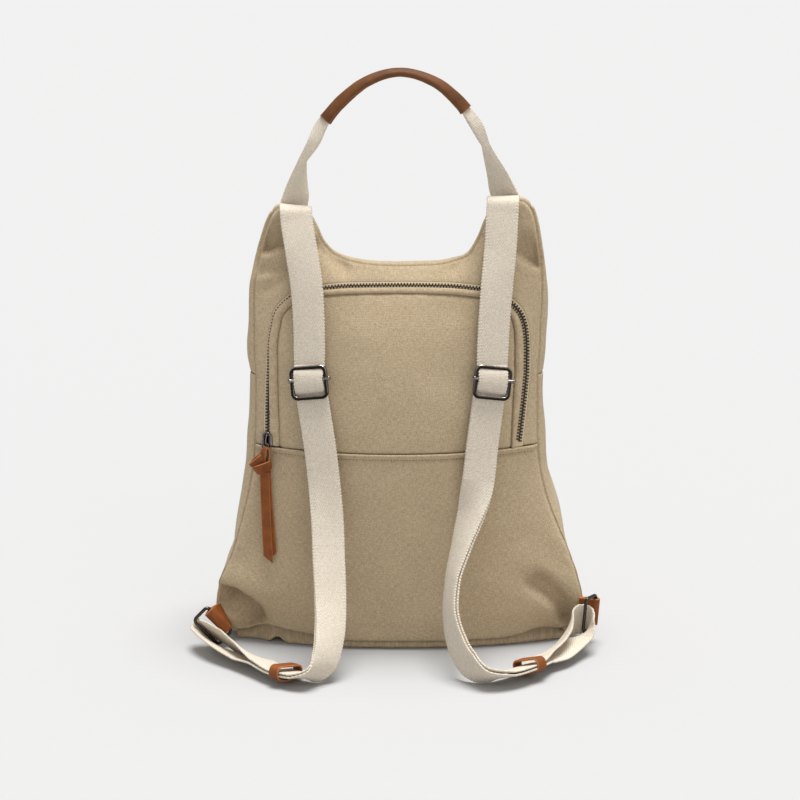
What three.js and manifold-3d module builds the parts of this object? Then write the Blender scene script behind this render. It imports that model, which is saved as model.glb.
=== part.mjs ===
// A soft canvas backpack that opens by a U-shaped zip on the side worn against the back.
// Millimetres, +Z up, origin at the middle of the base; the zipped back faces -Y and +X is to its right.
import * as THREE from "three";
import { mergeVertices } from "three/addons/utils/BufferGeometryUtils.js";
import Module from "manifold-3d";

const wasm = await Module();
wasm.setup();

// Driving sizes
const CANVAS = 1.8; // wall of the doubled canvas
const SEAM = 0.25; // each panel stops this far from its seam line
const WEB_WIDTH = 25;
const WEB_THICK = 1.7;
const LEATHER = 1.7;
const CLEAR = 0.4; // gap between a piece and what it rests on

const BACK_SEAM_Z = 165; // level seam under the zipped door
const SIDE_SEAM_ROW = 16; // outline row where the side gusset is joined across
const BASE_ROW = 3.4; // outline row where the base meets the side gusset
const CORNER_ROW = 5; // outline row taken as the panels' bottom corner
const EAR_ROW = 23; // outline row where the side ends and the top band starts

const CHAIN_HALF = 2.9; // zip chain, half its width
const CHAIN_THICK = 1.9;
const BINDING_WIDTH = 7; // bias strip along the door's edge
const BINDING_CROWN = 1.4;
const ZIP_SHIFT = -0.5; // the zip sits a little to the left

const table = (columns, rows) =>
  rows.map((row) => Object.fromEntries(columns.split(" ").map((name, i) => [name, row[i]])));

// Outline of the bag from the middle of the base, round the right side, over the ear to the middle of the scoop.
// crown is how far the gusset swells past its two seams.
const OUTLINE = table("x z crown", [
  [0, 0, 7],
  [60, 0, 7],
  [112, 0, 7],
  [130, 0, 7],
  [143, 5, 7],
  [150, 15, 6.5],
  [152.5, 28, 5.5],
  [149.5, 41, 5],
  [144.5, 56, 5],
  [139, 72, 5.5],
  [134, 89, 6],
  [129.8, 107, 6.5],
  [126, 126, 7],
  [122, 152, 7],
  [120.2, 180, 6.5],
  [119.4, 204, 6],
  [118.2, 221, 4.6],
  [120.6, 236, 6.2],
  [120.8, 262, 6],
  [120, 292, 5],
  [117, 310, 4],
  [113.5, 326, 3.4],
  [109, 341, 2.8],
  [103.5, 353, 2.4],
  [96, 359.5, 2.2],
  [86, 361, 2.2],
  [76, 359.5, 2.2],
  [70.5, 352, 2.2],
  [66, 341, 2.2],
  [61.5, 330.5, 2.2],
  [54, 321.5, 2.2],
  [42, 316.3, 2.2],
  [24, 313.4, 2.2],
  [0, 312.5, 2.2],
]);
const TOP_ROW = OUTLINE.length - 1;
const BASE_STEPS = [0, 0.45, 0.9, 1.35, 1.8, 2.2, 2.6, 3]; // outline rows at which the base and its seams are cut

// Side view: where the two panels' edges lie, and how far each panel swells past them in the middle.
// lean is how far the standing bag sags to the left at that height.
const DEPTH = table("z backEdge backSwell frontEdge frontSwell lean", [
  [0, -47, 10, 45, 10, 0],
  [30, -48, 20, 46, 20, -1],
  [90, -46, 32, 43, 29, -3],
  [150, -42, 34, 37, 31, -3.6],
  [200, -38, 31, 28, 29, -3.6],
  [250, -33, 24, 14, 23, -3.2],
  [290, -28, 17, -1, 14, -2.2],
  [313, -26, 13, -9, 8, -1.2],
  [361, -22, 8, -8, 4, 0],
]);
const EAR_LIFT = 4; // the right ear stands this much higher

// Dents and ridges pressed into the back: each runs from one point to another; depth is inwards.
const FOLDS = table("x0 z0 x1 z1 depth reach", [
  [-113, 313, -92, 332, 6, 9],
  [-114, 300, -100, 296, -2, 8],
  [96, 328, 112, 304, 5, 8],
  [-146, 38, -112, 21, 8, 10],
  [-140, 50, -104, 38, -3, 10],
  [103, 44, 130, 18, 6, 9],
  [112, 52, 138, 34, -3, 9],
]);

// Puckers of the bottom seam of the back: the seam rises by lift round x.
const PUCKERS = table("x reach lift", [
  [-110, 13, 7],
  [-78, 16, 2],
  [116, 15, 4],
]);

// Middle line of the zip from the level seam to the top of the U, right half.
const ZIP = table("x z", [
  [99.5, 165],
  [102.3, 198],
  [103.5, 230],
  [103, 254],
  [100.6, 271],
  [95, 283.5],
  [85.5, 291.8],
  [74, 295.6],
  [50, 297.2],
  [25, 298],
  [0, 298.3],
]);
const ZIP_TOP = ZIP.length - 1;
const ZIP_CORNER = 5; // zip row at the middle of the rounded corner

// Which point of the zip faces which point of the outline across the door's surround.
const SURROUND = table("outlineRow zipRow", [
  [13.46, 0],
  [14, 0.5],
  [15, 1],
  [16, 1.5],
  [17, 2],
  [18, 2.8],
  [19, 3.6],
  [20, 4.2],
  [21, 4.7],
  [22, 5.1],
  [23, 5.5],
  [24, 5.9],
  [25, 6.3],
  [26, 6.8],
  [27, 7.15],
  [28, 7.4],
  [29, 7.6],
  [30, 7.9],
  [31, 8.4],
  [32, 9.1],
  [33, 10],
]);

// Shoulder straps, from the ear down to the bottom ring: the middle between the running layer and the returning one.
// a* is the direction across the webbing, gap the distance between the layers, lift the running layer's rise at the slider.
const STRAP_COLUMNS = "x y z ax ay az gap lift";
const LEFT_STRAP = table(STRAP_COLUMNS, [
  [-86.4, -13.2, 361.1, 1, 0, 0, 2.2, 0],
  [-86.2, -19, 361.3, 1, 0, 0, 2.2, 0],
  [-85.6, -25, 358.9, 1, 0, 0, 2.2, 0],
  [-84.4, -29.5, 350, 1, 0, -0.1, 2.2, 0],
  [-79.5, -37.5, 325, 1, 0, -0.12, 2.2, 0],
  [-74.8, -46, 296, 1, -0.14, -0.1, 2.2, 0],
  [-72.8, -53.5, 262, 1, -0.22, -0.02, 2.2, 0],
  [-72.6, -58, 239, 1, -0.22, 0.05, 2.2, 0],
  [-72.5, -59.5, 232.2, 1, -0.22, 0.05, 2.2, 0],
  [-72.4, -61, 224.8, 1, -0.22, 0.05, 2.2, 5.1],
  [-72.2, -61.6, 222, 1, -0.22, 0.05, 2.2, 5.5],
  [-71.9, -62.2, 219.2, 1, -0.22, 0.02, 2.2, 5.1],
  [-71, -63.6, 211.8, 1, -0.22, -0.02, 2.2, 0],
  [-69.6, -65, 203, 1, -0.22, -0.1, 2.2, 0],
  [-64.6, -72, 171, 1, -0.22, -0.1, 2.2, 0],
  [-61, -77, 140, 1, -0.22, -0.08, 2.4, 0],
  [-58.6, -83, 112, 1, 0.02, -0.06, 2.4, 0],
  [-57.4, -98, 86, 0.98, 0.08, -0.12, 2.4, 0],
  [-56.6, -117, 60, 0.94, 0.2, -0.2, 2.4, 0],
  [-57, -135, 36.5, 0.86, 0.38, -0.3, 2.6, 0],
  [-60.5, -149, 19, 0.74, 0.54, -0.38, 2.8, 0],
  [-70, -154.5, 10, 0.62, 0.7, -0.34, 3, 0],
  [-83, -150.5, 8.8, 0.55, 0.8, -0.24, 2.8, 0],
  [-97.5, -140, 8, 0.5, 0.84, -0.2, 2.6, 0],
  [-112, -124, 8.8, 0.52, 0.78, -0.3, 3.6, 0],
  [-127, -106, 11, 0.58, 0.6, -0.5, 5.6, 0],
  [-143, -86, 14.4, 0.62, 0.36, -0.72, 8, 0],
  [-155, -68, 13, 0.6, 0.3, -0.74, 9, 0],
]);
const RIGHT_STRAP = table(STRAP_COLUMNS, [
  [83.2, -13.2, 365, 1, 0, 0.02, 2.2, 0],
  [83, -19, 365.2, 1, 0, 0.02, 2.2, 0],
  [82.6, -25, 362.4, 1, 0, 0.02, 2.2, 0],
  [81.6, -29.5, 352, 1, 0, 0.06, 2.2, 0],
  [79, -37.5, 325, 1, 0, 0.08, 2.2, 0],
  [76, -46, 296, 1, 0.14, 0.08, 2.2, 0],
  [73.4, -53.5, 262, 1, 0.22, 0.06, 2.2, 0],
  [72.4, -58, 239, 1, 0.22, 0, 2.2, 0],
  [72.2, -59.5, 232.2, 1, 0.22, -0.02, 2.2, 0],
  [72, -61, 224.8, 1, 0.22, -0.02, 2.2, 5.1],
  [71.8, -61.6, 222, 1, 0.22, -0.02, 2.2, 5.5],
  [71.4, -62.2, 219.2, 1, 0.22, 0, 2.2, 5.1],
  [70.2, -63.6, 211.8, 1, 0.22, 0.04, 2.2, 0],
  [69, -65, 203, 1, 0.22, 0.08, 2.2, 0],
  [64.6, -72, 171, 1, 0.22, 0.08, 2.2, 0],
  [61.6, -78, 145, 0.98, 0.1, 0.1, 2.4, 0],
  [56.4, -84, 121, 0.84, -0.5, 0.14, 2.4, 0],
  [48.6, -95, 97, 0.64, -0.74, 0.16, 2.4, 0],
  [41.2, -108, 72, 0.48, -0.85, 0.18, 2.4, 0],
  [37.4, -124, 47, 0.42, -0.86, 0.26, 2.6, 0],
  [39.4, -138, 28, 0.52, -0.78, 0.34, 2.8, 0],
  [47.5, -149, 16.4, 0.62, -0.68, 0.38, 3, 0],
  [61, -152.5, 10.4, 0.62, -0.7, 0.34, 3.2, 0],
  [80, -146, 9, 0.55, -0.8, 0.24, 3, 0],
  [101.5, -130.5, 8, 0.48, -0.85, 0.2, 2.6, 0],
  [115, -114, 9.6, 0.46, -0.8, 0.36, 6, 0],
  [128, -95, 19, 0.28, -0.46, 0.8, 12, 0],
  [138, -79, 25, 0.05, -0.05, 0.97, 17, 0],
  [145.6, -66.4, 25, 0, 0, 1, 19, 0],
]);
const SLIDER_ROW = 10; // strap row at the middle of the slider
const RETURN_ROW = 9; // the returning layer ends here, behind the slider's bar
const KEEPER_ROW = { left: 23, right: 24 };

// Slider buckle
const SLIDER = { width: 32, height: 28, windowWidth: 26.6, windowHeight: 21.6, depth: 3.5, corner: 5 };
const BAR = { radius: 1.1, length: 36, hole: 1.45 };
const SLIDER_FLOOR = 2.15; // underside of the frame above the middle of the running layer, less half its thickness

// Bottom rings: root is where the leather tab leaves the seam and seam its direction, along runs with the long bars,
// outward is where the tab points and turn how far the ring is swung towards the viewer about its tab bar.
const RING = { long: 26, short: 11.5, wire: 1.4, corner: 3.4 };
const CORNERS = {
  left: {
    root: [-148.2, -50.2, 26],
    seam: [0.4, 0, -0.92],
    along: [0.6, 0.3, -0.74],
    outward: [-0.305, -0.776, -0.556],
    length: 8.4,
    turn: 0,
  },
  right: { root: [147.6, -49.6, 26], seam: [0, 0, 1], along: [0, 0, 1], outward: [0.97, -0.22, 0], length: 11, turn: -115 },
};
const TAB_WIDTH = 23;
const KEEPER_RISE = 1; // the webbing lies on the keeper's lower wall

const KEEPER = { across: 28.6, high: 8.8, long: 9.5, wall: 1.7 };

// Handle, from the left ear to the right one: the webbing folds to half its width inside the leather wrap.
const HANDLE = table("x y z ax ay az width thick", [
  [-84.5, -11.5, 363.4, 0.86, 0.5, 0.04, 25, 1.7],
  [-83.6, -11.2, 374, 0.7, 0.7, 0, 24, 1.8],
  [-78.6, -10.6, 388, 0.3, 0.95, 0, 18, 2.6],
  [-73, -10.2, 403, 0.42, 0.85, -0.25, 12, 3],
  [-65.2, -10, 419, 0.62, 0.6, -0.4, 8.2, 2.3],
  [-48.4, -10, 439.5, 0.55, 0.7, -0.5, 7.6, 2.2],
  [-26, -10, 455, 0.3, 0.9, -0.3, 7.6, 2.2],
  [0, -10, 460.2, 0, 1, 0, 7.6, 2.2],
  [27, -10, 453, -0.3, 0.9, -0.3, 7.6, 2.2],
  [44.5, -10, 439.6, -0.5, 0.7, -0.5, 7.6, 2.2],
  [58, -10, 424, -0.6, 0.6, -0.4, 9, 2.4],
  [65.4, -10.2, 410, -0.45, 0.85, -0.2, 12, 3],
  [72, -10.6, 394, -0.3, 0.95, 0, 18, 2.6],
  [78.6, -11.2, 378, -0.7, 0.7, 0, 24, 1.8],
  [80.8, -11.5, 367.2, -0.86, 0.5, 0.04, 25, 1.7],
]);
const WRAP = { from: 4.25, to: 9.4, half: 4.7, high: 2 };

// Zip slider and its knotted leather pull
const PULL = { x: -107.4, knotZ: 152, width: 7.2, tail: 76 };

// Smooth value of a table's column at a place between its rows.
function smooth(rows, by, key, at) {
  const last = rows.length - 1;
  const rising = rows[last][by] > rows[0][by];
  let i = 0;
  while (i < last - 1 && (rising ? at > rows[i + 1][by] : at < rows[i + 1][by])) i += 1;
  const [a, b] = [rows[i], rows[i + 1]];
  const u = THREE.MathUtils.clamp((at - a[by]) / (b[by] - a[by]), 0, 1);
  const slope = (j) => {
    const [p, n] = [rows[Math.max(j - 1, 0)], rows[Math.min(j + 1, last)]];
    return (n[key] - p[key]) / (n[by] - p[by]);
  };
  const span = b[by] - a[by];
  const h = u * u * (3 - 2 * u);
  return (
    a[key] * (1 - h) + b[key] * h + span * (u * (1 - u) ** 2 * slope(i) - u * u * (1 - u) * slope(i + 1))
  );
}

// Point of a flat curve through a table's x and z columns, at a row number that may lie between rows.
function flatCurve(rows) {
  const curve = new THREE.CatmullRomCurve3(rows.map((r) => new THREE.Vector3(r.x, 0, r.z)), false, "centripetal");
  const last = rows.length - 1;
  return (row) => {
    const t = THREE.MathUtils.clamp(row / last, 0, 1);
    const point = curve.getPoint(t);
    const tangent = curve.getTangent(t);
    return { x: point.x, z: point.z, nx: tangent.z, nz: -tangent.x };
  };
}

const outlineAt = flatCurve(OUTLINE);
const zipAt = flatCurve(ZIP);
const crownAt = (row) => {
  const i = Math.min(Math.floor(row), TOP_ROW - 1);
  return THREE.MathUtils.lerp(OUTLINE[i].crown, OUTLINE[i + 1].crown, row - i);
};

// Seam line between a panel and the gusset, drawn in by inset; rows past TOP_ROW run down the left side.
function seamAt(row, inset = 0) {
  const half = Math.min(row, 2 * TOP_ROW - row);
  const side = row > TOP_ROW ? -1 : 1;
  const p = outlineAt(half);
  const draw = crownAt(half) + inset;
  const level = half === 0 || half === TOP_ROW;
  return { x: level ? 0 : side * (p.x - p.nx * draw), z: p.z - p.nz * draw };
}

// Outline row where the side seam reaches a height.
function rowAtHeight(z, inset) {
  let [low, high] = [CORNER_ROW, EAR_ROW];
  for (let i = 0; i < 40; i += 1) {
    const middle = (low + high) / 2;
    if (seamAt(middle, inset).z < z) low = middle;
    else high = middle;
  }
  return low;
}

// Zip line moved outwards by aside; rows past ZIP_TOP run down the left side.
function zipLine(row, aside) {
  const half = Math.min(row, 2 * ZIP_TOP - row);
  const side = row > ZIP_TOP ? -1 : 1;
  const p = zipAt(half);
  const x = half === ZIP_TOP ? 0 : side * (p.x + p.nx * aside);
  return { x: x + ZIP_SHIFT, z: half === 0 ? p.z : p.z + p.nz * aside };
}

const SIDE_ROWS = OUTLINE.slice(4, EAR_ROW + 1);
const TOP_ROWS = OUTLINE.slice(EAR_ROW);
const halfWidthAt = (z) => {
  const height = THREE.MathUtils.clamp(z, SIDE_ROWS[0].z, SIDE_ROWS.at(-1).z);
  return smooth(SIDE_ROWS, "z", "x", height) - smooth(SIDE_ROWS, "z", "crown", height);
};
const topAt = (x) => smooth(TOP_ROWS, "x", "z", Math.min(Math.abs(x), TOP_ROWS[0].x));

// Swell of a panel: full in the middle, none at its side seams and at its top edge.
function swellAt(x, z) {
  const aside = Math.min(Math.abs(x) / halfWidthAt(z), 1);
  const rise = THREE.MathUtils.clamp(z / topAt(x), 0, 1);
  return (1 - aside ** 2.2) * (1 - rise ** 10);
}

function foldAt(x, z) {
  let sum = 0;
  for (const f of FOLDS) {
    const [dx, dz] = [f.x1 - f.x0, f.z1 - f.z0];
    const t = THREE.MathUtils.clamp(((x - f.x0) * dx + (z - f.z0) * dz) / (dx * dx + dz * dz), 0, 1);
    const away = Math.hypot(x - f.x0 - t * dx, z - f.z0 - t * dz);
    sum += f.depth * Math.exp(-((away / f.reach) ** 2));
  }
  return sum;
}

function puckerAt(x, z) {
  const fade = THREE.MathUtils.clamp(1 - (z - 6) / 40, 0, 1);
  return PUCKERS.reduce((sum, p) => sum + p.lift * fade * Math.exp(-(((x - p.x) / p.reach) ** 2)), 0);
}

const backAt = (x, z) =>
  smooth(DEPTH, "z", "backEdge", z) - smooth(DEPTH, "z", "backSwell", z) * swellAt(x, z) + foldAt(x, z);
const frontAt = (x, z) =>
  smooth(DEPTH, "z", "frontEdge", z) + smooth(DEPTH, "z", "frontSwell", z) * swellAt(x, z);
// Point of the slumped bag for a point of its drawn outline.
function settled(x, y, z) {
  const ear = THREE.MathUtils.smoothstep(z, 300, 361) * THREE.MathUtils.smoothstep(x, 10, 80);
  return new THREE.Vector3(x + smooth(DEPTH, "z", "lean", THREE.MathUtils.clamp(z, 0, 361)), y, z + EAR_LIFT * ear);
}

// Points of the two panels: the depth is read at seat, so that an inset edge keeps the depth of its seam.
const onBack = (p, deep = 0, seat = p) =>
  settled(p.x, backAt(seat.x, seat.z) + deep, p.z + puckerAt(seat.x, seat.z));
const onFront = (p, deep = 0, seat = p) => settled(p.x, frontAt(seat.x, seat.z) - deep, p.z);

// Indexed geometry whose faces are turned outwards.
function closedGeometry(points, faces) {
  let volume = 0;
  for (const [a, b, c] of faces) volume += points[a].dot(new THREE.Vector3().crossVectors(points[b], points[c]));
  const turned = volume < 0 ? faces.map(([a, b, c]) => [a, c, b]) : faces;
  const geometry = new THREE.BufferGeometry().setFromPoints(points);
  geometry.setIndex(turned.flat());
  geometry.computeVertexNormals();
  return geometry;
}

// Wall between two grids of points of the same size; around joins the last column to the first.
function wallGeometry(outer, inner, around = false) {
  const [rows, columns] = [outer.length, outer[0].length];
  const points = [...outer.flat(), ...inner.flat()];
  const at = (i, j, layer) => layer * rows * columns + i * columns + (j % columns);
  const faces = [];
  const quad = (a, b, c, d) => faces.push([a, b, c], [a, c, d]);
  const across = around ? columns : columns - 1;
  for (let i = 0; i < rows - 1; i += 1)
    for (let j = 0; j < across; j += 1) {
      quad(at(i, j, 0), at(i + 1, j, 0), at(i + 1, j + 1, 0), at(i, j + 1, 0));
      quad(at(i, j, 1), at(i, j + 1, 1), at(i + 1, j + 1, 1), at(i + 1, j, 1));
    }
  for (let j = 0; j < across; j += 1) {
    quad(at(0, j, 0), at(0, j + 1, 0), at(0, j + 1, 1), at(0, j, 1));
    quad(at(rows - 1, j, 0), at(rows - 1, j, 1), at(rows - 1, j + 1, 1), at(rows - 1, j + 1, 0));
  }
  if (!around)
    for (let i = 0; i < rows - 1; i += 1) {
      quad(at(i, 0, 0), at(i, 0, 1), at(i + 1, 0, 1), at(i + 1, 0, 0));
      quad(at(i, columns - 1, 0), at(i + 1, columns - 1, 0), at(i + 1, columns - 1, 1), at(i, columns - 1, 1));
    }
  return closedGeometry(points, faces);
}

// Solid swept through rings of points; a closed sweep joins its last ring to its first.
function sweepGeometry(rings, closed = false) {
  const [count, sides] = [rings.length, rings[0].length];
  const points = rings.flat();
  const at = (i, j) => (i % count) * sides + (j % sides);
  const faces = [];
  for (let i = 0; i < (closed ? count : count - 1); i += 1)
    for (let j = 0; j < sides; j += 1) {
      faces.push([at(i, j), at(i + 1, j), at(i + 1, j + 1)], [at(i, j), at(i + 1, j + 1), at(i, j + 1)]);
    }
  if (!closed)
    for (let j = 1; j < sides - 1; j += 1) {
      faces.push([at(0, 0), at(0, j), at(0, j + 1)], [at(count - 1, 0), at(count - 1, j + 1), at(count - 1, j)]);
    }
  return closedGeometry(points, faces);
}

const steps = (from, to, count) => Array.from({ length: count + 1 }, (_, i) => from + ((to - from) * i) / count);

// Grid of flat points inside four edges, each a list of points; bottom and top run left to right, the sides upwards.
function patch(bottom, right, top, left) {
  const [countX, countZ] = [bottom.length - 1, left.length - 1];
  return left.map((_, j) =>
    bottom.map((_, i) => {
      const [s, t] = [i / countX, j / countZ];
      const mix = (k) =>
        (1 - t) * bottom[i][k] + t * top[i][k] + (1 - s) * left[j][k] + s * right[j][k] -
        (1 - s) * ((1 - t) * bottom[0][k] + t * top[0][k]) -
        s * ((1 - t) * bottom[countX][k] + t * top[countX][k]);
      return { x: mix("x"), z: mix("z") };
    }),
  );
}

const flip = (points, middle = 0) => points.map((p) => ({ x: 2 * middle - p.x, z: p.z }));
const between = (a, b, count) =>
  steps(0, 1, count).map((s) => ({ x: THREE.MathUtils.lerp(a.x, b.x, s), z: THREE.MathUtils.lerp(a.z, b.z, s) }));
const otherSide = (row) => 2 * TOP_ROW - row;
const seamRun = (from, to, inset) => steps(from, to, Math.round(Math.abs(to - from))).map((row) => seamAt(row, inset));
const bottomRun = (inset) => {
  const right = [...BASE_STEPS.slice(1), BASE_ROW, CORNER_ROW - 1, CORNER_ROW].map((row) => seamAt(row, inset));
  return [...flip(right).reverse(), seamAt(0, inset), ...right];
};

// Solids and placed meshes
const material = (color, roughness, metalness = 0) =>
  new THREE.MeshStandardMaterial({ color, roughness, metalness });
const canvas = material(0xb59d79, 0.9);
const webbing = material(0xe3dbc9, 0.85);
const tanLeather = material(0x9a5a2c, 0.55);
const gunmetal = material(0x4b4644, 0.3, 0.9);

const bag = new THREE.Group();
function add(name, geometry, finish) {
  const mesh = new THREE.Mesh(geometry, finish);
  mesh.name = name;
  bag.add(mesh);
  return mesh;
}

function solid(geometry) {
  const bare = geometry.clone();
  bare.deleteAttribute("normal");
  bare.deleteAttribute("uv");
  const merged = mergeVertices(bare, 1e-4);
  return new wasm.Manifold(
    new wasm.Mesh({
      numProp: 3,
      vertProperties: new Float32Array(merged.attributes.position.array),
      triVerts: new Uint32Array(merged.index.array),
    }),
  );
}

function fromSolid(made) {
  const mesh = made.getMesh();
  const geometry = new THREE.BufferGeometry();
  geometry.setAttribute("position", new THREE.BufferAttribute(new Float32Array(mesh.vertProperties), 3));
  geometry.setIndex([...mesh.triVerts]);
  geometry.computeVertexNormals();
  return geometry;
}

// Canvas panels
function panelWall(grid, place) {
  const seats = grid(SEAM);
  const outer = seats.map((row) => row.map((p) => place(p, 0)));
  const inner = grid(SEAM + CANVAS).map((row, i) => row.map((p, j) => place(p, CANVAS, seats[i][j])));
  return wallGeometry(outer, inner);
}

function frontPanel() {
  const grid = (inset) => {
    const right = seamRun(CORNER_ROW, EAR_ROW, inset);
    return patch(bottomRun(inset), right, seamRun(otherSide(EAR_ROW), EAR_ROW, inset), flip(right));
  };
  add("front_panel", panelWall(grid, onFront), canvas);
}

function backLower() {
  const grid = (inset) => {
    const end = rowAtHeight(BACK_SEAM_Z - inset, inset);
    const right = [...seamRun(CORNER_ROW, Math.floor(end), inset), seamAt(end, inset)];
    const bottom = bottomRun(inset);
    const top = between(flip(right).at(-1), right.at(-1), bottom.length - 1);
    return patch(bottom, right, top, flip(right));
  };
  add("back_panel_lower", panelWall(grid, onBack), canvas);
}

// Canvas between the zip and the outline, from the level seam up over both ears.
function backSurround() {
  const grid = (inset) => {
    const foot = BACK_SEAM_Z + inset;
    const half = SURROUND.map((r, i) => ({
      outer: i === 0 ? seamAt(rowAtHeight(foot, inset), inset) : seamAt(r.outlineRow, inset),
      inner: i === 0 ? { ...zipLine(0, CHAIN_HALF + CLEAR + inset), z: foot } : zipLine(r.zipRow, CHAIN_HALF + CLEAR + inset),
    }));
    const other = SURROUND.map((r, i) => ({
      outer: { x: -half[i].outer.x, z: half[i].outer.z },
      inner: { x: 2 * ZIP_SHIFT - half[i].inner.x, z: half[i].inner.z },
    })).slice(0, -1);
    return [...half, ...other.reverse()].map((r) => between(r.inner, r.outer, 4));
  };
  add("back_panel_surround", panelWall(grid, onBack), canvas);
}

function backFlap() {
  const aside = -(CHAIN_HALF + 2 * CLEAR + BINDING_WIDTH);
  const grid = (inset) => {
    const edge = (row) => {
      const p = zipLine(row, aside - inset);
      return row % (2 * ZIP_TOP) === 0 ? { x: p.x, z: BACK_SEAM_Z + inset } : p;
    };
    const run = (from, to, count) => steps(from, to, count).map(edge);
    const far = 2 * ZIP_TOP;
    const top = run(far - ZIP_CORNER, ZIP_CORNER, 16);
    return patch(between(edge(far), edge(0), 16), run(0, ZIP_CORNER, 8), top, run(far, far - ZIP_CORNER, 8));
  };
  add("back_flap", panelWall(grid, onBack), canvas);
}

// Strip that follows the zip between two offsets from its middle line, standing proud by crown.
function zipStrip(from, to, thick, crown, across) {
  const rows = steps(0, 2 * ZIP_TOP, 2 * ZIP_TOP);
  const grid = (deep) =>
    rows.map((row) =>
      steps(0, 1, across).map((s) => {
        const p = zipLine(row, THREE.MathUtils.lerp(from, to, s));
        const z = row % (2 * ZIP_TOP) === 0 ? BACK_SEAM_Z + SEAM : p.z;
        const proud = deep === 0 ? crown * Math.sin(Math.PI * s) : -0.0;
        return onBack({ x: p.x, z }, deep - proud);
      }),
    );
  return wallGeometry(grid(0), grid(thick));
}

function zip() {
  add("flap_binding", zipStrip(-(CHAIN_HALF + CLEAR), -(CHAIN_HALF + CLEAR + BINDING_WIDTH), CANVAS, BINDING_CROWN, 4), canvas);
  add("zip_chain", zipStrip(-CHAIN_HALF, CHAIN_HALF, CHAIN_THICK, 0, 1), gunmetal);
}

// Length of gusset between two outline rows, swelling between the back seam and the front seam;
// a higher square makes its corners tighter and puff rolls them outwards.
function gusset(name, rows, across, square, puff = 0) {
  const swell = (b) => Math.min(1, 1.03 * (1 - Math.abs(2 * b - 1) ** square));
  const grid = (deep) =>
    rows.map((row) => {
      const half = Math.min(Math.abs(row), 2 * TOP_ROW - row);
      const side = row < 0 || row > TOP_ROW ? -1 : 1;
      const p = outlineAt(half);
      const [nx, nz] = [side * p.nx, p.nz];
      const crown = crownAt(half);
      const level = half === TOP_ROW || half === 0;
      const seam = { x: level ? 0 : side * p.x - nx * crown, z: p.z - nz * crown };
      const [back, front] = [backAt(seam.x, seam.z), frontAt(seam.x, seam.z)];
      const lift = puckerAt(seam.x, seam.z);
      return steps(0, 1, across).map((s) => {
        const b = 0.5 - 0.5 * Math.cos(Math.PI * s);
        const roll = puff * (Math.sin(Math.min(1, (1 - b) / 0.14) * Math.PI) - Math.sin(Math.min(1, b / 0.14) * Math.PI));
        const y = THREE.MathUtils.lerp(back + SEAM + deep, front - SEAM - deep, b) + roll;
        const out = crown * swell(b) - deep;
        const z = seam.z + nz * out + lift * Math.max(0, 1 - 5 * b);
        return settled(seam.x + nx * out, y, Math.max(z, deep));
      });
    });
  add(name, wallGeometry(grid(0), grid(CANVAS)), canvas);
}

function gussets() {
  const gap = 0.02;
  const run = (from, to) => {
    const inside = Array.from({ length: 2 * TOP_ROW }, (_, row) => row).filter((row) => row > from && row < to);
    return [from + gap, ...inside, to - gap];
  };
  const base = [...BASE_STEPS.slice(1), BASE_ROW - gap];
  gusset("base_panel", [...base.map((row) => -row).reverse(), 0, ...base], 12, 24, 3.5);
  gusset("side_gusset_lower_right", run(BASE_ROW, SIDE_SEAM_ROW), 6, 6);
  gusset("side_gusset_upper_right", run(SIDE_SEAM_ROW, EAR_ROW), 4, 4);
  gusset("top_band", run(EAR_ROW, otherSide(EAR_ROW)), 3, 4);
  gusset("side_gusset_upper_left", run(otherSide(EAR_ROW), otherSide(SIDE_SEAM_ROW)), 4, 4);
  gusset("side_gusset_lower_left", run(otherSide(SIDE_SEAM_ROW), otherSide(BASE_ROW)), 6, 6);
}

// Places along a table of rows with a direction across: centre, tangent, across and outward normal.
function spine(rows) {
  const curve = new THREE.CatmullRomCurve3(rows.map((r) => new THREE.Vector3(r.x, r.y, r.z)), false, "centripetal");
  const last = rows.length - 1;
  return (row) => {
    const i = Math.min(Math.floor(row), last - 1);
    const u = row - i;
    const mix = (key) => THREE.MathUtils.lerp(rows[i][key], rows[i + 1][key], u);
    const tangent = curve.getTangent(row / last);
    const across = new THREE.Vector3(mix("ax"), mix("ay"), mix("az"));
    across.addScaledVector(tangent, -across.dot(tangent)).normalize();
    const normal = new THREE.Vector3().crossVectors(tangent, across);
    return { centre: curve.getPoint(row / last), tangent, across, normal, mix };
  };
}

// Four corners of a flat section.
function flatRing(centre, across, normal, width, thick) {
  const corner = (w, n) => centre.clone().addScaledVector(across, (w * width) / 2).addScaledVector(normal, (n * thick) / 2);
  return [corner(-1, -1), corner(1, -1), corner(1, 1), corner(-1, 1)];
}

function strapRings(rows) {
  const at = spine(rows);
  const last = rows.length - 1;
  const rings = [];
  for (const row of steps(0, last, last * 2)) {
    const p = at(row);
    const centre = p.centre.clone().addScaledVector(p.normal, p.mix("gap") / 2 + p.mix("lift"));
    rings.push(flatRing(centre, p.across, p.normal, WEB_WIDTH, WEB_THICK));
  }
  const end = at(last);
  const radius = rows[last].gap / 2;
  for (const angle of steps(0, Math.PI, 6).slice(1, -1)) {
    const normal = end.normal.clone().multiplyScalar(Math.cos(angle)).addScaledVector(end.tangent, Math.sin(angle));
    rings.push(flatRing(end.centre.clone().addScaledVector(normal, radius), end.across, normal, WEB_WIDTH, WEB_THICK));
  }
  for (const row of steps(last, RETURN_ROW, (last - RETURN_ROW) * 2)) {
    const p = at(row);
    const normal = p.normal.clone().negate();
    const centre = p.centre.clone().addScaledVector(normal, p.mix("gap") / 2);
    rings.push(flatRing(centre, p.across, normal, WEB_WIDTH, WEB_THICK));
  }
  return rings;
}

function frameAt(p, centre) {
  const basis = new THREE.Matrix4().makeBasis(p.across, p.tangent.clone().negate(), p.normal);
  return { position: centre, quaternion: new THREE.Quaternion().setFromRotationMatrix(basis) };
}

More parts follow.
